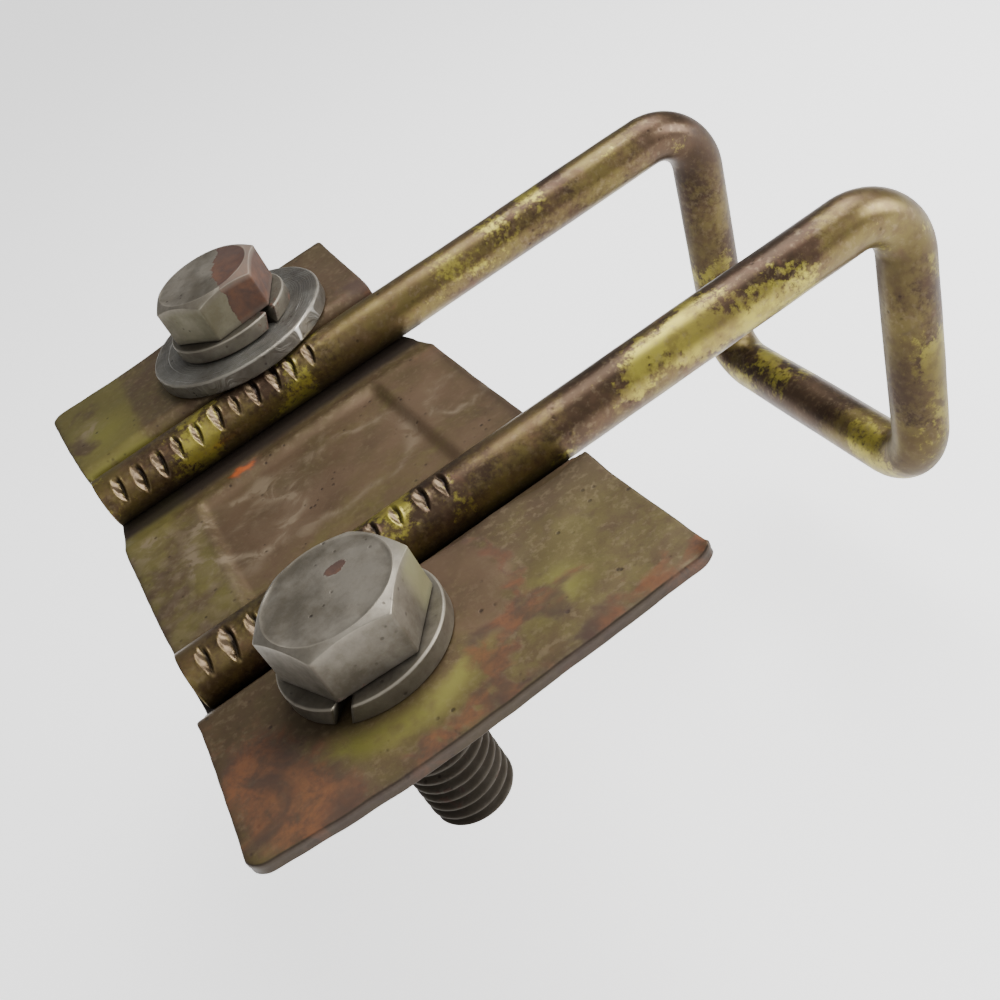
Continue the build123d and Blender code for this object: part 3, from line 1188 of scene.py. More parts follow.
        surface = Surface()
        upper_x, upper_s = moved(self.top_inset)
        upper_y = self.fold.at(upper_s)[0][..., 0]
        masks = self._stains(upper_x, upper_y)
        gap = self.length / 2 - np.abs(upper_x + self.skew * upper_y)
        gap = np.minimum(gap, np.minimum(upper_s, self.fold.length - upper_s))
        masks[Mask.EDGE] = 0.5 * np.exp(-np.maximum(gap - 0.3, 0) / 0.4)
        upper = surface.block(sheet_at(upper_x, upper_s, 0.0), masks)
        surface.skin(upper, keep=keep, flip=True)
        lower_x, lower_s = moved(self.under_inset)
        under = {Mask.RUST: 0.2 + 0.3 * Ripple(41, 14.0)(lower_x, lower_s),
                 Mask.BROWN: np.full_like(x, 0.6)}
        lower = surface.block(sheet_at(lower_x, lower_s, self.sheet), under)
        surface.skin(lower, keep=keep)
        rim = [upper[li, lj]]
        ring_masks = {Mask.EDGE: np.ones(len(li)), Mask.RUST: 0.15 + 0.3 * Ripple(43, 11.0)(out_x, out_s)}
        for inset, share in CUT_EDGE:
            ring_x, ring_s = out_x - nx * (inset + nick), out_s - ns * (inset + nick)
            rim.append(surface.block(sheet_at(ring_x, ring_s, share * self.sheet), ring_masks))
        rim.append(lower[li, lj])
        surface.skin(np.array(rim), wrap=True, flip=True)
        self._hole_walls(surface, upper, lower)
        return surface.build("plate_sheet")

    def _hole_walls(self, surface: Surface, upper: np.ndarray, lower: np.ndarray) -> None:
        """Joins the top and underside round each hole.

        Args:
            surface: The mesh so far.
            upper: Point numbers of the top.
            lower: Point numbers of the underside.
        """
        x_lines, s_lines, _ = self._lines()
        n = self.hole_cells
        for side, (hx, hy) in self.layout.bolts.items():
            i = int(np.argmin(np.abs(x_lines - (hx + self.skew * hy))))
            j = int(np.argmin(np.abs(s_lines - hy - self.shift[side])))
            ring = [(i + k, j - n) for k in range(-n, n)] + [(i + n, j + k) for k in range(-n, n)]
            ring += [(i - k, j + n) for k in range(-n, n)] + [(i - n, j - k) for k in range(-n, n)]
            ri, rj = np.array(ring).T
            surface.skin(np.array([upper[ri, rj], lower[ri, rj]]), wrap=True)


# ---------------------------------------------------------------------------------------------
# Rod


# The rod's end from its side to its face: share of the radius, and how far out it stands.
ROD_END = ((0.985, 0.0), (0.95, 0.1), (0.88, 0.16), (0.6, 0.17), (0.3, 0.18))


@dataclass
class RodHook:
    """The bent rod: a round section carried along straight legs and arcs, with press marks."""

    layout: Layout
    bend_r: float = 5.5
    lean: float = 6.2
    around: int = 56
    step: float = 0.7
    fine_step: float = 0.11
    mark_pitch: float = 2.55
    mark_length: float = 1.12
    mark_depth: float = 0.5
    mark_reach: float = 1.5
    far_mark_start: float = 2.4
    near_mark_start: float = 2.2
    far_tilt: tuple[float, float] = (56.0, 32.0)
    near_tilt: tuple[float, float] = (36.0, 12.0)
    mark_count: int = 11
    arc_rows: int = 26
    crush: float = 0.16
    # Where along x the painted shade on the legs' underside ends.
    groove_shade_end: float = 21.0

    def _corners(self) -> np.ndarray:
        """Works out the corner points of the axis.

        Returns:
            Six points, from the near leg's end round to the far leg's end.
        """
        lay = self.layout
        drop = lay.rod_z - lay.bar_z
        turn = math.pi / 2 + math.atan2(self.lean, drop)
        right = lay.rod_right - lay.rod_r - self.bend_r + self.bend_r * math.tan(turn / 2)
        near, far = lay.legs[Side.NEAR], lay.legs[Side.FAR]
        return np.array([
            (lay.leg_ends[Side.NEAR], near, lay.rod_z), (right, near, lay.rod_z),
            (right - self.lean, near, lay.bar_z), (right - self.lean, far, lay.bar_z),
            (right, far, lay.rod_z), (lay.leg_ends[Side.FAR], far, lay.rod_z)])

    def _path(self) -> tuple[np.ndarray, np.ndarray, np.ndarray]:
        """Carries the axis along its straights and arcs.

        An arc's point is its centre, less the radius times the cosine of the angle gone inwards, plus
        the radius times its sine ahead.

        Returns:
            Points, tangents, and the bend's strength from 0 on straights to 1 inside an arc.
        """
        corners = self._corners()
        lines = np.diff(corners, axis=0)
        units = lines / np.linalg.norm(lines, axis=1, keepdims=True)
        points, tangents, bends = [], [], []
        start = corners[0]
        for i in range(len(units)):
            last = i == len(units) - 1
            if last:
                end = corners[-1]
            else:
                turn = math.acos(float(np.clip(units[i] @ units[i + 1], -1, 1)))
                reach = self.bend_r * math.tan(turn / 2)
                end = corners[i + 1] - units[i] * reach
            steps = self._steps(start, end, i)
            points.append(start + np.outer(steps, end - start))
            tangents.append(np.tile(units[i], (len(steps), 1)))
            bends.append(np.zeros(len(steps)))
            if last:
                break
            inward = units[i + 1] - units[i] * math.cos(turn)
            inward /= np.linalg.norm(inward)
            angles = np.linspace(0, turn, self.arc_rows)[1:-1]
            centre = end + inward * self.bend_r
            points.append(centre - self.bend_r * (np.outer(np.cos(angles), inward)
                                                  - np.outer(np.sin(angles), units[i])))
            tangents.append(np.outer(np.cos(angles), units[i]) + np.outer(np.sin(angles), inward))
            bends.append(np.sin(angles / turn * math.pi))
            start = corners[i + 1] + units[i + 1] * reach
        return np.concatenate(points), np.concatenate(tangents), np.concatenate(bends)

    def _steps(self, start: np.ndarray, end: np.ndarray, index: int) -> np.ndarray:
        """Spaces the rows along a straight: fine over the press marks, coarse elsewhere.

        Args:
            start: First point of the straight.
            end: Last point of the straight.
            index: Its number along the rod. The legs are 0 and 4.

        Returns:
            Shares of the straight, from 0 to 1.
        """
        length = float(np.linalg.norm(end - start))
        if index in (0, 4):
            zone = self.mark_count * self.mark_pitch + 3.5
            fine = np.arange(0, zone, self.fine_step)
            rest = np.linspace(zone, length, int((length - zone) / self.step))
            along = np.concatenate([fine, rest])
            return along / length if index == 0 else 1 - along[::-1] / length
        return np.linspace(0, 1, max(int(length / self.step), 2))

    def _mark_shape(self, x: np.ndarray, turn: np.ndarray, side: Side) -> tuple[np.ndarray, ...]:
        """Works out the press marks.

        Each mark is a drop-shaped cut across the crest: a flat floor fades out down the front, its
        left part is bare and toothed, and its right part is the deepest. Its half width is that of an
        ellipse, made wider towards the back.

        Args:
            x: Places along the leg.
            turn: Angles round the rod from its top, towards -y, in radians.
            side: Which leg.

        Returns:
            Depths, bare mask and hollow mask.
        """
        lay = self.layout
        start = self.far_mark_start if side is Side.FAR else self.near_mark_start
        first = lay.leg_ends[side] + start
        number = np.round((x - first) / self.mark_pitch)
        inside = (number >= 0) & (number < self.mark_count)
        rng = np.random.default_rng(7 if side is Side.FAR else 8)
        size = rng.uniform(0.75, 1.15, self.mark_count)
        shift = rng.uniform(-0.22, 0.22, self.mark_count)
        slide = rng.uniform(-0.35, 0.35, self.mark_count)
        pick = np.clip(number, 0, self.mark_count - 1).astype(int)
        tilts = np.linspace(*(self.far_tilt if side is Side.FAR else self.near_tilt), self.mark_count)
        across = (turn - np.radians(tilts[pick])) * lay.rod_r + slide[pick]
        along = x - first - number * self.mark_pitch - shift[pick] + 0.08 * across
        reach = self.mark_reach * size[pick]
        t = np.clip(across / reach, -1.2, 1.2)
        width = self.mark_length / 2 * size[pick] * np.sqrt(np.clip(1 - t * t, 0, 1)) * (1.0 - 0.3 * t)
        width = np.where(np.abs(t) < 1, width, 0)
        there = (width > 0.05) * inside
        inner = smooth(np.abs(along), width + 0.1, np.maximum(width - 0.12, 0.02)) * there
        lean = np.clip(along / np.maximum(width, 0.2), -1, 1)
        tooth = 0.09 * np.sin(across / 0.42 * 2 * math.pi + 2 * lean) * (lean < 0.2)
        depth = inner * (self.mark_depth * size[pick] * (0.5 + 0.42 * lean) + tooth)
        burr = hill(np.abs(along) - width - 0.12, 0.13) * 0.07 * there
        bare = inner * smooth(lean, 0.2, -0.15)
        hollow = inner * smooth(lean, 0.05, 0.45)
        return depth - burr, bare, hollow

    def _displace(self, x: np.ndarray, turn: np.ndarray, y: np.ndarray) -> tuple[np.ndarray, Masks]:
        """Puts the marks on both legs.

        Args:
            x: Places along x.
            turn: Angles round the rod from its top, towards +y, in radians.
            y: Places along y, which tell the legs apart.

        Returns:
            Depths and masks.
        """
        depth = np.zeros_like(x)
        masks = {Mask.BARE: np.zeros_like(x), Mask.HOLLOW: np.zeros_like(x)}
        middle = sum(self.layout.legs.values()) / 2
        for side in Side:
            leg = (y < middle) if side is Side.NEAR else (y >= middle)
            cut, bare, hollow = self._mark_shape(x, -turn, side)
            depth = np.where(leg, cut, depth)
            masks[Mask.BARE] = np.where(leg, bare, masks[Mask.BARE])
            masks[Mask.HOLLOW] = np.where(leg, hollow, masks[Mask.HOLLOW])
        return depth, masks

    def build(self) -> bpy.types.Object:
        """Builds the rod: a ring of rays carried along the axis without twist.

        Each ring's point is the axis point plus the ray times the radius, less the marks, the crush on
        the outside of the bends and a slight swell.

        Returns:
            The rod's object.
        """
        axis, tangent, bend = self._path()
        normal = np.zeros_like(axis)
        normal[0] = (0, 0, 1)
        for i in range(1, len(axis)):
            flat = normal[i - 1] - tangent[i] * (normal[i - 1] @ tangent[i])
            normal[i] = flat / np.linalg.norm(flat)
        other = np.cross(tangent, normal)
        theta = np.linspace(0, 2 * math.pi, self.around, endpoint=False)
        ray = np.cos(theta)[None, :, None] * normal[:, None] + np.sin(theta)[None, :, None] * other[:, None]
        r = self.layout.rod_r
        centre = np.broadcast_to(axis[:, None], ray.shape)
        curve = np.gradient(tangent, axis=0)
        size = np.linalg.norm(curve, axis=1, keepdims=True)
        inward = np.where(size > 1e-9, curve / np.maximum(size, 1e-9), 0)
        facing = np.einsum("ijk,ik->ij", ray, inward)
        squeeze = bend[:, None] * (self.crush * smooth(-facing, 0.2, 1.0) + 0.05 * facing ** 2)
        legs = (np.abs(tangent[:, 0]) > 0.99)[:, None]
        turn = np.arctan2(ray[..., 1], ray[..., 2])
        depth, masks = self._displace(centre[..., 0], turn, centre[..., 1])
        depth = np.where(legs, depth, 0)
        along = centre[..., 0] + centre[..., 2]
        swell = Ripple(51, 9.0)(along, turn * r + centre[..., 1] * 0.3) * 0.02 + 0.02
        points = centre + ray * (r - depth - squeeze - swell)[..., None]
        masks = {k: np.where(legs, v, 0) for k, v in masks.items()}
        # Painted shade on the legs' underside where they lie in the grooves, and on the drops and, a
        # quarter as strong, the bar; on the drops it also stands for dark tarnish.
        in_groove = legs & (centre[..., 0] < self.groove_shade_end)
        grime = np.where(in_groove, smooth(np.abs(turn), 1.75, 2.4), 0) * 0.9
        ripple = Ripple(53, 17.0)(along, centre[..., 1] + turn * 3)
        shade_tarnish = smooth(-np.abs(tangent[:, 0]), -0.9, -0.4)[:, None] * (0.42 + 0.16 * ripple)
        shade_tarnish = shade_tarnish * np.where(np.abs(tangent[:, 1]) > 0.7, 0.25, 1.0)[:, None]
        masks[Mask.SHADE_GRIME] = np.maximum(grime, shade_tarnish)
        masks[Mask.BROWN] = np.clip(0.12 + 0.4 * ripple, 0, 1)
        masks[Mask.RUST] = 0.16 + 0.12 * Ripple(55, 8.0)(centre[..., 0], centre[..., 2] + turn * 3)
        surface = Surface()
        body = surface.block(points, masks)
        surface.skin(body, wrap=True)
        self._end(surface, body[0], axis[0], tangent[0], ray[0], False)
        self._end(surface, body[-1], axis[-1], -tangent[-1], ray[-1], True)
        return surface.build("rod_round")

    def _end(self, surface: Surface, ring: np.ndarray, centre: np.ndarray, inward: np.ndarray,
             ray: np.ndarray, flip: bool) -> None:
        """Closes an end: the edge is broken in small steps, and the cut face is nearly flat.

        Args:
            surface: The mesh so far.
            ring: Point numbers of the last ring.
            centre: The axis's end.
            inward: Direction along the axis into the rod.
            ray: Directions from the axis to the ring.
            flip: Turns the faces over.
        """
        r = self.layout.rod_r
        rows = [ring]
        theta = np.arange(self.around) / self.around * 2 * math.pi
        for share, out in ROD_END:
            rough = 0.03 * np.sin(theta * 5 + share * 9) * share
            points = centre + ray * (r * share) - inward * np.asarray(out + rough)[..., None] * 0.5
            rows.append(surface.block(points + inward * 0.1, {Mask.EDGE: np.full(self.around, 0.9)}))
        surface.skin(np.array(rows), wrap=True, flip=not flip)
        tip = surface.block((centre + inward * 0.02)[None], {Mask.EDGE: np.full(1, 0.9)})
        surface.fan(rows[-1], int(tip[0]), flip=not flip)


# ---------------------------------------------------------------------------------------------
# Bolts and washers


# Rows of points over the bolt's face and down its side, as shares of the way.
FACE_ROWS = (0.12, 0.24, 0.36, 0.48, 0.6, 0.72, 0.83, 0.92, 0.975)
CROWN_ROWS = (0.12, 0.5, 0.9)
SIDE_ROWS = (0.15, 0.3, 0.45, 0.6, 0.75, 0.88)


@dataclass
class HexBolt:
    """A hexagon bolt: chamfered head, neck, helical thread and chamfered tip, on one set of rays."""

    layout: Layout
    side: Side
    corner_turn: float
    flats: float = 12.0
    head_h: float = 5.2
    face_ratio: float = 0.94
    crown_angle: float = 30.0
    corner_round: float = 0.35
    neck_d: float = 8.2
    thread_d: float = 7.86
    pitch: float = 1.25
    thread_depth: float = 0.62
    tip_chamfer: float = 1.0
    turn_rows: int = 13

    def _angles(self) -> np.ndarray:
        """Gives the ray angles: close together at the corners.

        Returns:
            Degrees from the first corner.
        """
        near = np.array([-1.5, -1.1, -0.6, 0.0, 0.6, 1.1, 1.5])
        flat = np.linspace(1.5, 58.5, 16)[1:-1]
        one = np.concatenate([near, flat])
        return np.concatenate([one + 60 * k for k in range(6)])

    def _hexagon(self, degrees: np.ndarray) -> np.ndarray:
        """Gives the head's outline: flats joined by small arcs at the corners.

        On a flat the distance is half the width across flats over the cosine of the angle from the
        flat's middle. On an arc it is where the ray leaves the corner's small circle.

        Args:
            degrees: Angles from the first corner.

        Returns:
            Distances from the axis.
        """
        beta = np.radians(np.abs((degrees + 30) % 60 - 30))
        apothem, rho = self.flats / 2, self.corner_round
        flat = apothem / np.cos(math.pi / 6 - beta)
        c = (apothem - rho) / math.cos(math.pi / 6)
        limit = math.atan2(rho * 0.5, c + rho * math.cos(math.pi / 6))
        arc = c * np.cos(beta) + np.sqrt(np.maximum(rho ** 2 - (c * np.sin(beta)) ** 2, 0))
        return np.where(beta < limit, arc, flat)

    def build(self) -> bpy.types.Object:
        """Builds the bolt from rings: face, crown, side, underside, neck, thread and tip.

        The crown falls from the face by the distance past the face times the slope of its cone.

        Returns:
            The bolt's object.
        """
        lay = self.layout
        x0, y0 = lay.bolts[self.side]
        seat, tip = lay.bearing[self.side], lay.tips[self.side]
        degrees = self._angles()
        hexagon = self._hexagon(degrees)
        face = self.flats * self.face_ratio / 2
        top = seat + self.head_h
        slope = math.tan(math.radians(self.crown_angle))
        rim_z = top - (hexagon - face) * slope
        ones = np.ones_like(hexagon)
        rows: list[tuple[np.ndarray, np.ndarray, float]] = []
        for share in FACE_ROWS:
            rows.append((ones * face * share, ones * (top - 0.05 * (1 - share ** 2)), 0.0))
        rows.append((ones * face + 0.02, ones * top - 0.03, 0.6))
        for share in CROWN_ROWS:
            past = (hexagon - face) * share
            rows.append((face + past, top - past * slope - 0.02, 0.25))
        rows.append((hexagon - 0.02, rim_z - 0.04, 0.7))
        side_top, side_foot = rim_z - 0.14, seat + 0.2
        rows.append((hexagon, side_top, 0.35))
        rows += [(hexagon, side_top + (side_foot - side_top) * share, 0.0) for share in SIDE_ROWS]
        rows.append((hexagon, ones * (seat + 0.18), 0.2))
        rows.append((hexagon - 0.05, ones * (seat + 0.05), 0.3))
        rows.append((hexagon - 0.18, ones * seat, 0.1))
        neck = self.neck_d / 2
        rows.append((ones * (self.flats / 2 - 0.4), ones * seat, 0.0))
        rows.append((ones * neck, ones * seat, 0.0))
        rows += [(ones * neck, ones * z, 0.0) for z in np.linspace(seat, 0.3, 6)[1:]]
        for z in np.arange(0.2, tip, -self.pitch / self.turn_rows):
            rows.append((self._thread(degrees, float(z), tip), ones * z, 0.0))
        end_r = self.thread_d / 2 - self.tip_chamfer
        rows.append((ones * (end_r - 0.05), ones * tip, 0.0))
        rows.append((ones * end_r * 0.5, ones * (tip + 0.05), 0.0))
        angle = np.radians(degrees + self.corner_turn)
        radius = np.stack([r for r, _, _ in rows])
        height = np.stack([z for _, z, _ in rows])
        edge = np.repeat([[e] for _, _, e in rows], len(degrees), axis=1)
        dx, dy = radius * np.cos(angle), radius * np.sin(angle)
        on_face = (radius < face * 0.98) & (height > top - 0.2)
        height = height + np.where(on_face, 0.03 * Ripple(61, 4.0)(dx + x0, dy + y0) - 0.08, 0)
        points = np.stack([x0 + dx, y0 + dy, height], -1)
        surface = Surface()
        body = surface.block(points, self._masks(dx, dy, height - seat, edge))
        surface.skin(body, wrap=True, flip=True)
        head = surface.block(np.array([[x0, y0, top - 0.05]]))
        surface.fan(body[0], int(head[0]))
        foot = surface.block(np.array([[x0, y0, tip + 0.05]]), {Mask.SHADE_GRIME: np.array([0.5])})
        surface.fan(body[-1], int(foot[0]), flip=True)
        return surface.build(f"{self.side.value}_bolt_threaded")

    def _thread(self, degrees: np.ndarray, z: float, tip: float) -> np.ndarray:
        """Gives the radius of the thread: a rounded V that climbs one pitch a turn.

        The phase is the height over the pitch less the share of a turn. The groove fades in below the
        neck, and the tip's cone cuts the crests.

        Args:
            degrees: Ray angles from the head's first corner.
            z: Height.
            tip: Height of the tip.

        Returns:
            Radii.
        """
        phase = (z / self.pitch - (degrees + self.corner_turn) / 360) % 1
        wave = np.abs(phase * 2 - 1)
        crest = smooth(wave, 0.12, 0.86)
        fade = float(smooth(np.array(z), 0.1, -1.4))
        radius = self.thread_d / 2 - self.thread_depth * (1 - crest) * fade
        cone = self.thread_d / 2 - self.tip_chamfer + (z - tip)
        return np.minimum(radius, cone)

    def _masks(self, dx: np.ndarray, dy: np.ndarray, up: np.ndarray, edge: np.ndarray) -> Masks:
        """Works out rust, painted shade under the head and painted light on one side of it. The far head is
        rusty on its right, the near one has a small streak.

        Args:
            dx: Places along x from the bolt's axis.
            dy: Places along y from the axis.
            up: Heights over the head's seat.
            edge: How near each point is to an edge.

        Returns:
            The masks.
        """
        # Painted shade under the head and on the neck below it, with some dirt.
        below = smooth(up, -0.1, -1.2)
        grime = below * 0.8 + hill(up - 0.1, 0.3) * 0.5
        head = smooth(up, -0.1, 0.1)
        under_crown = smooth(up, self.head_h - 0.2, self.head_h - 1.2)
        # The lighter side of each head is a painted light: the front on the far head, the right on the near
        # one.
        if self.side is Side.FAR:
            rust = smooth(dx - 0.25 * dy, 1.0, 3.4) * 1.1 + hill(np.hypot(dx - 3.0, dy + 1.5), 2.6) * 0.7
            rust = rust + hill(np.hypot(dx + 1.0, dy - 4.5), 1.2) * 0.3
            clean = 0.3 * smooth(-dy - dx * 0.4, 3.0, 5.4) * under_crown
        else:
            rust = hill(np.hypot((dx - 1.2) / 1.8, dy - 1.6), 0.7) * 0.9 + hill(up - 0.2, 0.5) * 0.3
            clean = smooth(dx + dy * 0.2, 4.0, 5.6) * under_crown
        return {Mask.RUST: rust * head + below * 0.3, Mask.SHADE_GRIME: grime, Mask.EDGE: edge,
                Mask.CLEAN_AND_LIT: clean}


# How bright a washer's rounded corner is worn, from one side to the other.
RING_CORNER = [0.1, 0.6, 0.8, 0.6, 0.1]


@dataclass
class Ring:
    """A washer: a rounded rectangle carried round the axis, split with a leaning cut if wanted."""

    layout: Layout
    name: str
    centre: tuple[float, float]
    seat: float
    inner_r: float
    outer_r: float
    thick: float
    gap: float = 0.0
    gap_turn: float = 0.0
    gap_lean: float = 20.0
    spring: float = 0.0
    corner: float = 0.22
    rust_turn: float = -40.0
    rust: float = 0.3
    around: int = 180

    def _section(self) -> tuple[np.ndarray, np.ndarray, np.ndarray]:
        """Works out the section: a rectangle with a quarter circle at each corner.

        Returns:
            Radius and height round the section, and how near each point is to a corner.
        """
        r0, r1, h, c = self.inner_r, self.outer_r, self.thick - self.spring, self.corner
        radius, height, edge = [], [], []
        quarter = np.linspace(0, math.pi / 2, len(RING_CORNER))
        for cr, cz, start in ((r1 - c, c, -math.pi / 2), (r1 - c, h - c, 0.0),
                              (r0 + c, h - c, math.pi / 2), (r0 + c, c, math.pi)):
            radius += list(cr + c * np.cos(start + quarter))
            height += list(cz + c * np.sin(start + quarter))
            edge += RING_CORNER
            if start == 0.0:
                across = np.linspace(r1 - c, r0 + c, 7)[1:-1]
                radius += list(across)
                height += [h] * len(across)
                edge += [0.0] * len(across)
        return np.array(radius), np.array(height), np.array(edge)

    def build(self) -> bpy.types.Object:
        """Builds the washer: the section turned round the axis.

        The split's ends lean by the height over the middle times the lean's tangent over the radius,
        which dies away within a short part of the turn. A spring washer climbs by its rise in one turn.

        Returns:
            The washer's object.
        """
        radius, height, edge = self._section()
        x0, y0 = self.centre
        split = self.gap > 0
        middle_r = (self.inner_r + self.outer_r) / 2
        share = np.linspace(0, 1, self.around, endpoint=split)
        half = self.gap / 2 / middle_r if split else 0.0
        turn = math.radians(self.gap_turn) + half + share * (2 * math.pi - 2 * half)
        lean = math.tan(math.radians(self.gap_lean)) if split else 0.0
        hold = np.abs(share - 0.5) * 2
        shift = lean * (height - self.thick / 2)[None, :] * (hold ** 6)[:, None] / middle_r
        angle = turn[:, None] + shift
        rise = self.spring * (share if split else np.zeros_like(share))
        z = self.seat + height[None, :] + rise[:, None]
        dx, dy = radius[None, :] * np.cos(angle), radius[None, :] * np.sin(angle)
        points = np.stack([x0 + dx, y0 + dy, z], -1)
        facing = np.cos(angle - math.radians(self.rust_turn))
        rust = self.rust * smooth(facing, 0.55, 1.0) * np.ones_like(dx) + 0.08
        # Painted shade: darker at the inner rim under the head, and at the foot where the washer meets the
        # face below.
        grime = smooth(radius, self.inner_r + 1.6, self.inner_r + 0.5)[None, :] * np.ones_like(dx) * 0.4
        low = smooth(height, 0.25, 0.0)[None, :] * np.ones_like(dx) * 0.7
        masks = {Mask.EDGE: np.repeat(edge[None, :], len(dx), axis=0), Mask.RUST: rust,
                 Mask.SHADE_GRIME: np.maximum(grime, low)}
        surface = Surface()
        body = surface.block(points, masks)
        if split:
            surface.skin(body, wrap=True, flip=True)
            for row, flip in ((0, False), (-1, True)):
                # Painted shade towards the middle of each cut face of the split.
                mid = surface.block(points[row].mean(0)[None], {Mask.SHADE_GRIME: np.array([0.5])})
                surface.fan(body[row], int(mid[0]), flip=flip)
        else:
            closed = np.concatenate([body, body[:1]], axis=0)
            surface.skin(closed, wrap=True, flip=True)
        return surface.build(self.name)


# ---------------------------------------------------------------------------------------------
# The whole scene


@dataclass(frozen=True)
class Studio:
    """Camera, floor and lights. The camera is given by where it stands and how it is turned."""

    camera_at: tuple[float, float, float] = (0.00035, -0.11046, 0.06375)
    right: tuple[float, float, float] = (0.81346, -0.41242, -0.41014)
    up: tuple[float, float, float] = (0.57150, 0.43167, 0.69847)
    lens: float = 45.88
    floor_drop: float = 0.02
    floor_half: float = 4.0
    floor_glow: float = 1.3
    side_offset: tuple[float, float, float] = (0.30, -0.15, 0.12)
    sky_low: Colour = (0.17, 0.17, 0.175)
    sky_high: Colour = (0.31, 0.31, 0.31)
    sky_seen: Colour = (0.78, 0.78, 0.78)

    def build(self, low: Vector, high: Vector) -> None:
        """Adds camera, floor, lights and background.

        Args:
            low: Lowest corner of the object.
            high: Highest corner of the object.
        """
        right, up = Vector(self.right), Vector(self.up)
        back = right.cross(up)
        data = bpy.data.cameras.new("camera")
        data.lens, data.sensor_width = self.lens, 36.0
        data.clip_start, data.clip_end = 0.005, 20.0
        camera = bpy.data.objects.new("camera", data)
        turn = Matrix((right, up, back)).transposed().to_4x4()
        camera.matrix_world = Matrix.Translation(Vector(self.camera_at)) @ turn
        bpy.context.scene.collection.objects.link(camera)
        bpy.context.scene.camera = camera
        centre = (low + high) / 2
        self._floor(low.z - self.floor_drop)
        self._light("key", centre + back * 0.10 + up * 0.30 - right * 0.02, centre, 0.26, 1.3)
        self._light("fill", centre + back * 0.26 - right * 0.10, centre, 0.30, 0.2)
        self._light("side", centre + Vector(self.side_offset), centre, 0.20, 1.7)
        self._background()

    def _floor(self, height: float) -> None:
        """Adds the floor: one large pale sheet that glows a little.

        Args:
            height: Its height.
        """
        s = self.floor_half
        mesh = bpy.data.meshes.new("floor")
        mesh.from_pydata([(-s, -s, height), (s, -s, height), (s, s, height), (-s, s, height)], [],
                         [(0, 1, 2, 3)])
        material = bpy.data.materials.new("floor_paper")
        material.use_nodes = True
        surface = material.node_tree.nodes["Principled BSDF"]
        surface.inputs["Base Color"].default_value = (0.9, 0.9, 0.9, 1)
        surface.inputs["Roughness"].default_value = 0.9
        surface.inputs["Emission Color"].default_value = (1.0, 1.0, 1.0, 1)
        surface.inputs["Emission Strength"].default_value = self.floor_glow
        mesh.materials.append(material)
        floor = bpy.data.objects.new("floor", mesh)
        bpy.context.scene.collection.objects.link(floor)
        floor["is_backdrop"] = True

    @staticmethod
    def _light(name: str, at: Vector, target: Vector, size: float, power: float) -> None:
        """Adds a round soft light.

        Args:
            name: Its name.
            at: Where it stands.
            target: Where it looks.
            size: Its width.
            power: Its power in watts.
        """
        data = bpy.data.lights.new(name, "AREA")
        data.shape, data.size, data.energy = "DISK", size, power
        light = bpy.data.objects.new(name, data)
        turn = (target - at).to_track_quat("-Z", "Y").to_matrix().to_4x4()
        light.matrix_world = Matrix.Translation(at) @ turn
        bpy.context.scene.collection.objects.link(light)
        light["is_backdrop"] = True

    def _background(self) -> None:
        """Adds the background: darker below, brighter above, and plain and pale where it is seen."""
        world = bpy.data.worlds.new("studio")
        world.use_nodes = True
        g = Graph(world.node_tree)
        place = g.node("ShaderNodeTexCoord").outputs["Generated"]
        height = g.node("ShaderNodeSeparateXYZ", {0: place}).outputs[2]
        tone = g.mix(g.ramp(height, -0.2, 0.9), self.sky_low, self.sky_high)
        seen = g.node("ShaderNodeLightPath").outputs["Is Camera Ray"]
        sky = world.node_tree.nodes["Background"]
        g.put(sky.inputs["Color"], g.mix(seen, tone, self.sky_seen))
        bpy.context.scene.world = world


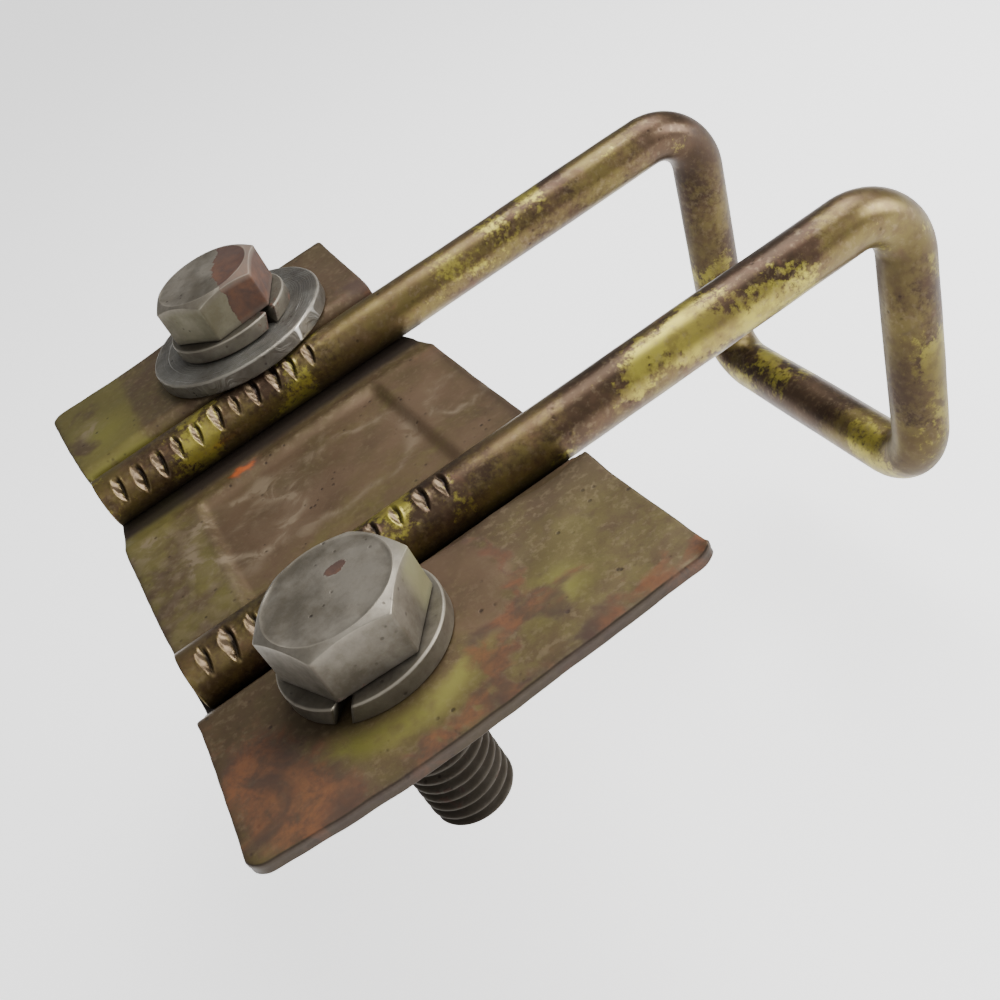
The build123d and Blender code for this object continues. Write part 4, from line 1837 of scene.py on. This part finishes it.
@dataclass
class Bracket:
    """Puts the pieces together, gives them their finishes and ties them to the CAD bodies."""

    frame: dict
    rod_d: float = 6.0
    end_step: float = 1.58
    washer_thick: float = 2.0
    spring_clearance: float = 0.08
    flat_clearance: float = 0.2
    split_gap: float = 1.1
    spring_rise: float = 0.16
    near_head_turn: float = 55.6
    far_head_turn: float = 8.0
    near_split_turn: float = -125.0
    far_split_turn: float = -60.0
    near_rust_turn: float = 120.0
    far_rust_turn: float = -50.0

    def __post_init__(self) -> None:
        """Reads the places, bodies and slots, and builds the shared node groups."""
        self.layout = Layout.read(self.frame, HexBolt.head_h, self.rod_d, self.end_step)
        record = self.frame["record"]
        self.bodies = record["behaviour"]["bodies"]
        self.slots = {s["node"]: s["material_slot"] for s in record["subparts"]}
        self.shared = SharedEffects()

    def _place(self, obj: bpy.types.Object, node: str, material: bpy.types.Material) -> None:
        """Dresses a piece and ties it to the CAD node that it stands for.

        Args:
            obj: The piece.
            node: The CAD node.
            material: The piece's material.
        """
        obj.data.materials.append(material)
        body = next(name for name, nodes in self.bodies.items() if node in nodes)
        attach(obj, body)
        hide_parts(node)

    def _spring_washer(self, side: Side, seat: float) -> Ring:
        """Sets out the split ring under one of the heads.

        Args:
            side: Which bolt.
            seat: Height of the face that the ring lies on.

        Returns:
            The ring, not yet built.
        """
        lay = self.layout
        is_far = side is Side.FAR
        return Ring(lay, f"{side.value}_split_ring", lay.bolts[side], seat,
                    HexBolt.neck_d / 2 + self.spring_clearance, lay.spring_r, self.washer_thick,
                    gap=self.split_gap, spring=self.spring_rise,
                    gap_turn=self.far_split_turn if is_far else self.near_split_turn,
                    rust_turn=self.far_rust_turn if is_far else self.near_rust_turn)

    def build(self) -> None:
        """Builds every piece with its finish."""
        lay = self.layout
        sheet = PlatedFinish("passivated_sheet", srgb(94, 81, 54), srgb(112, 103, 58), srgb(76, 60, 45),
                             patch_scale=42.0, tint_level=0.6, softness=0.2)
        rod = PlatedFinish("passivated_rod", srgb(104, 91, 52), srgb(166, 156, 66), srgb(62, 48, 36),
                           patch_scale=75.0, tint_level=0.58, shade_level=0.5, grain=0.35,
                           softness=0.05, metallic=0.8, roughness=0.3)
        self._place(Plate(lay).build(), "mounting_plate", sheet.make(self.shared))
        self._place(RodHook(lay).build(), "hook_rod", rod.make(self.shared))
        steel = SteelFinish("dull_zinc", srgb(132, 126, 115), srgb(92, 86, 75)).make(self.shared)
        for side, turn in ((Side.NEAR, self.near_head_turn), (Side.FAR, self.far_head_turn)):
            self._place(HexBolt(lay, side, turn).build(), f"{side.value}_bolt", steel)
        spring = SteelFinish("spring_zinc", srgb(114, 109, 97), srgb(80, 74, 65)).make(self.shared)
        for side, seat in ((Side.NEAR, lay.flange_top), (Side.FAR, lay.flange_top + self.washer_thick)):
            self._place(self._spring_washer(side, seat).build(), f"{side.value}_spring_washer", spring)
        x, y = lay.bolts[Side.FAR]
        bright = SteelFinish("turned_zinc", srgb(124, 122, 115), srgb(88, 84, 78), swirl=1.0,
                             centre=(x * MM, y * MM), roughness=0.32)
        flat = Ring(lay, "far_flat_ring", (x, y), lay.flange_top, HexBolt.neck_d / 2 + self.flat_clearance,
                    lay.flat_r, self.washer_thick, corner=0.3, rust=0.0)
        self._place(flat.build(), "far_flat_washer", bright.make(self.shared))


def main() -> None:
    """Loads the frame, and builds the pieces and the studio."""
    logging.basicConfig(level=logging.INFO)
    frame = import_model()
    Bracket(frame).build()
    bpy.context.view_layer.update()
    low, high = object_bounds()
    Studio().build(low, high)


if __name__ == "__main__":
    main()
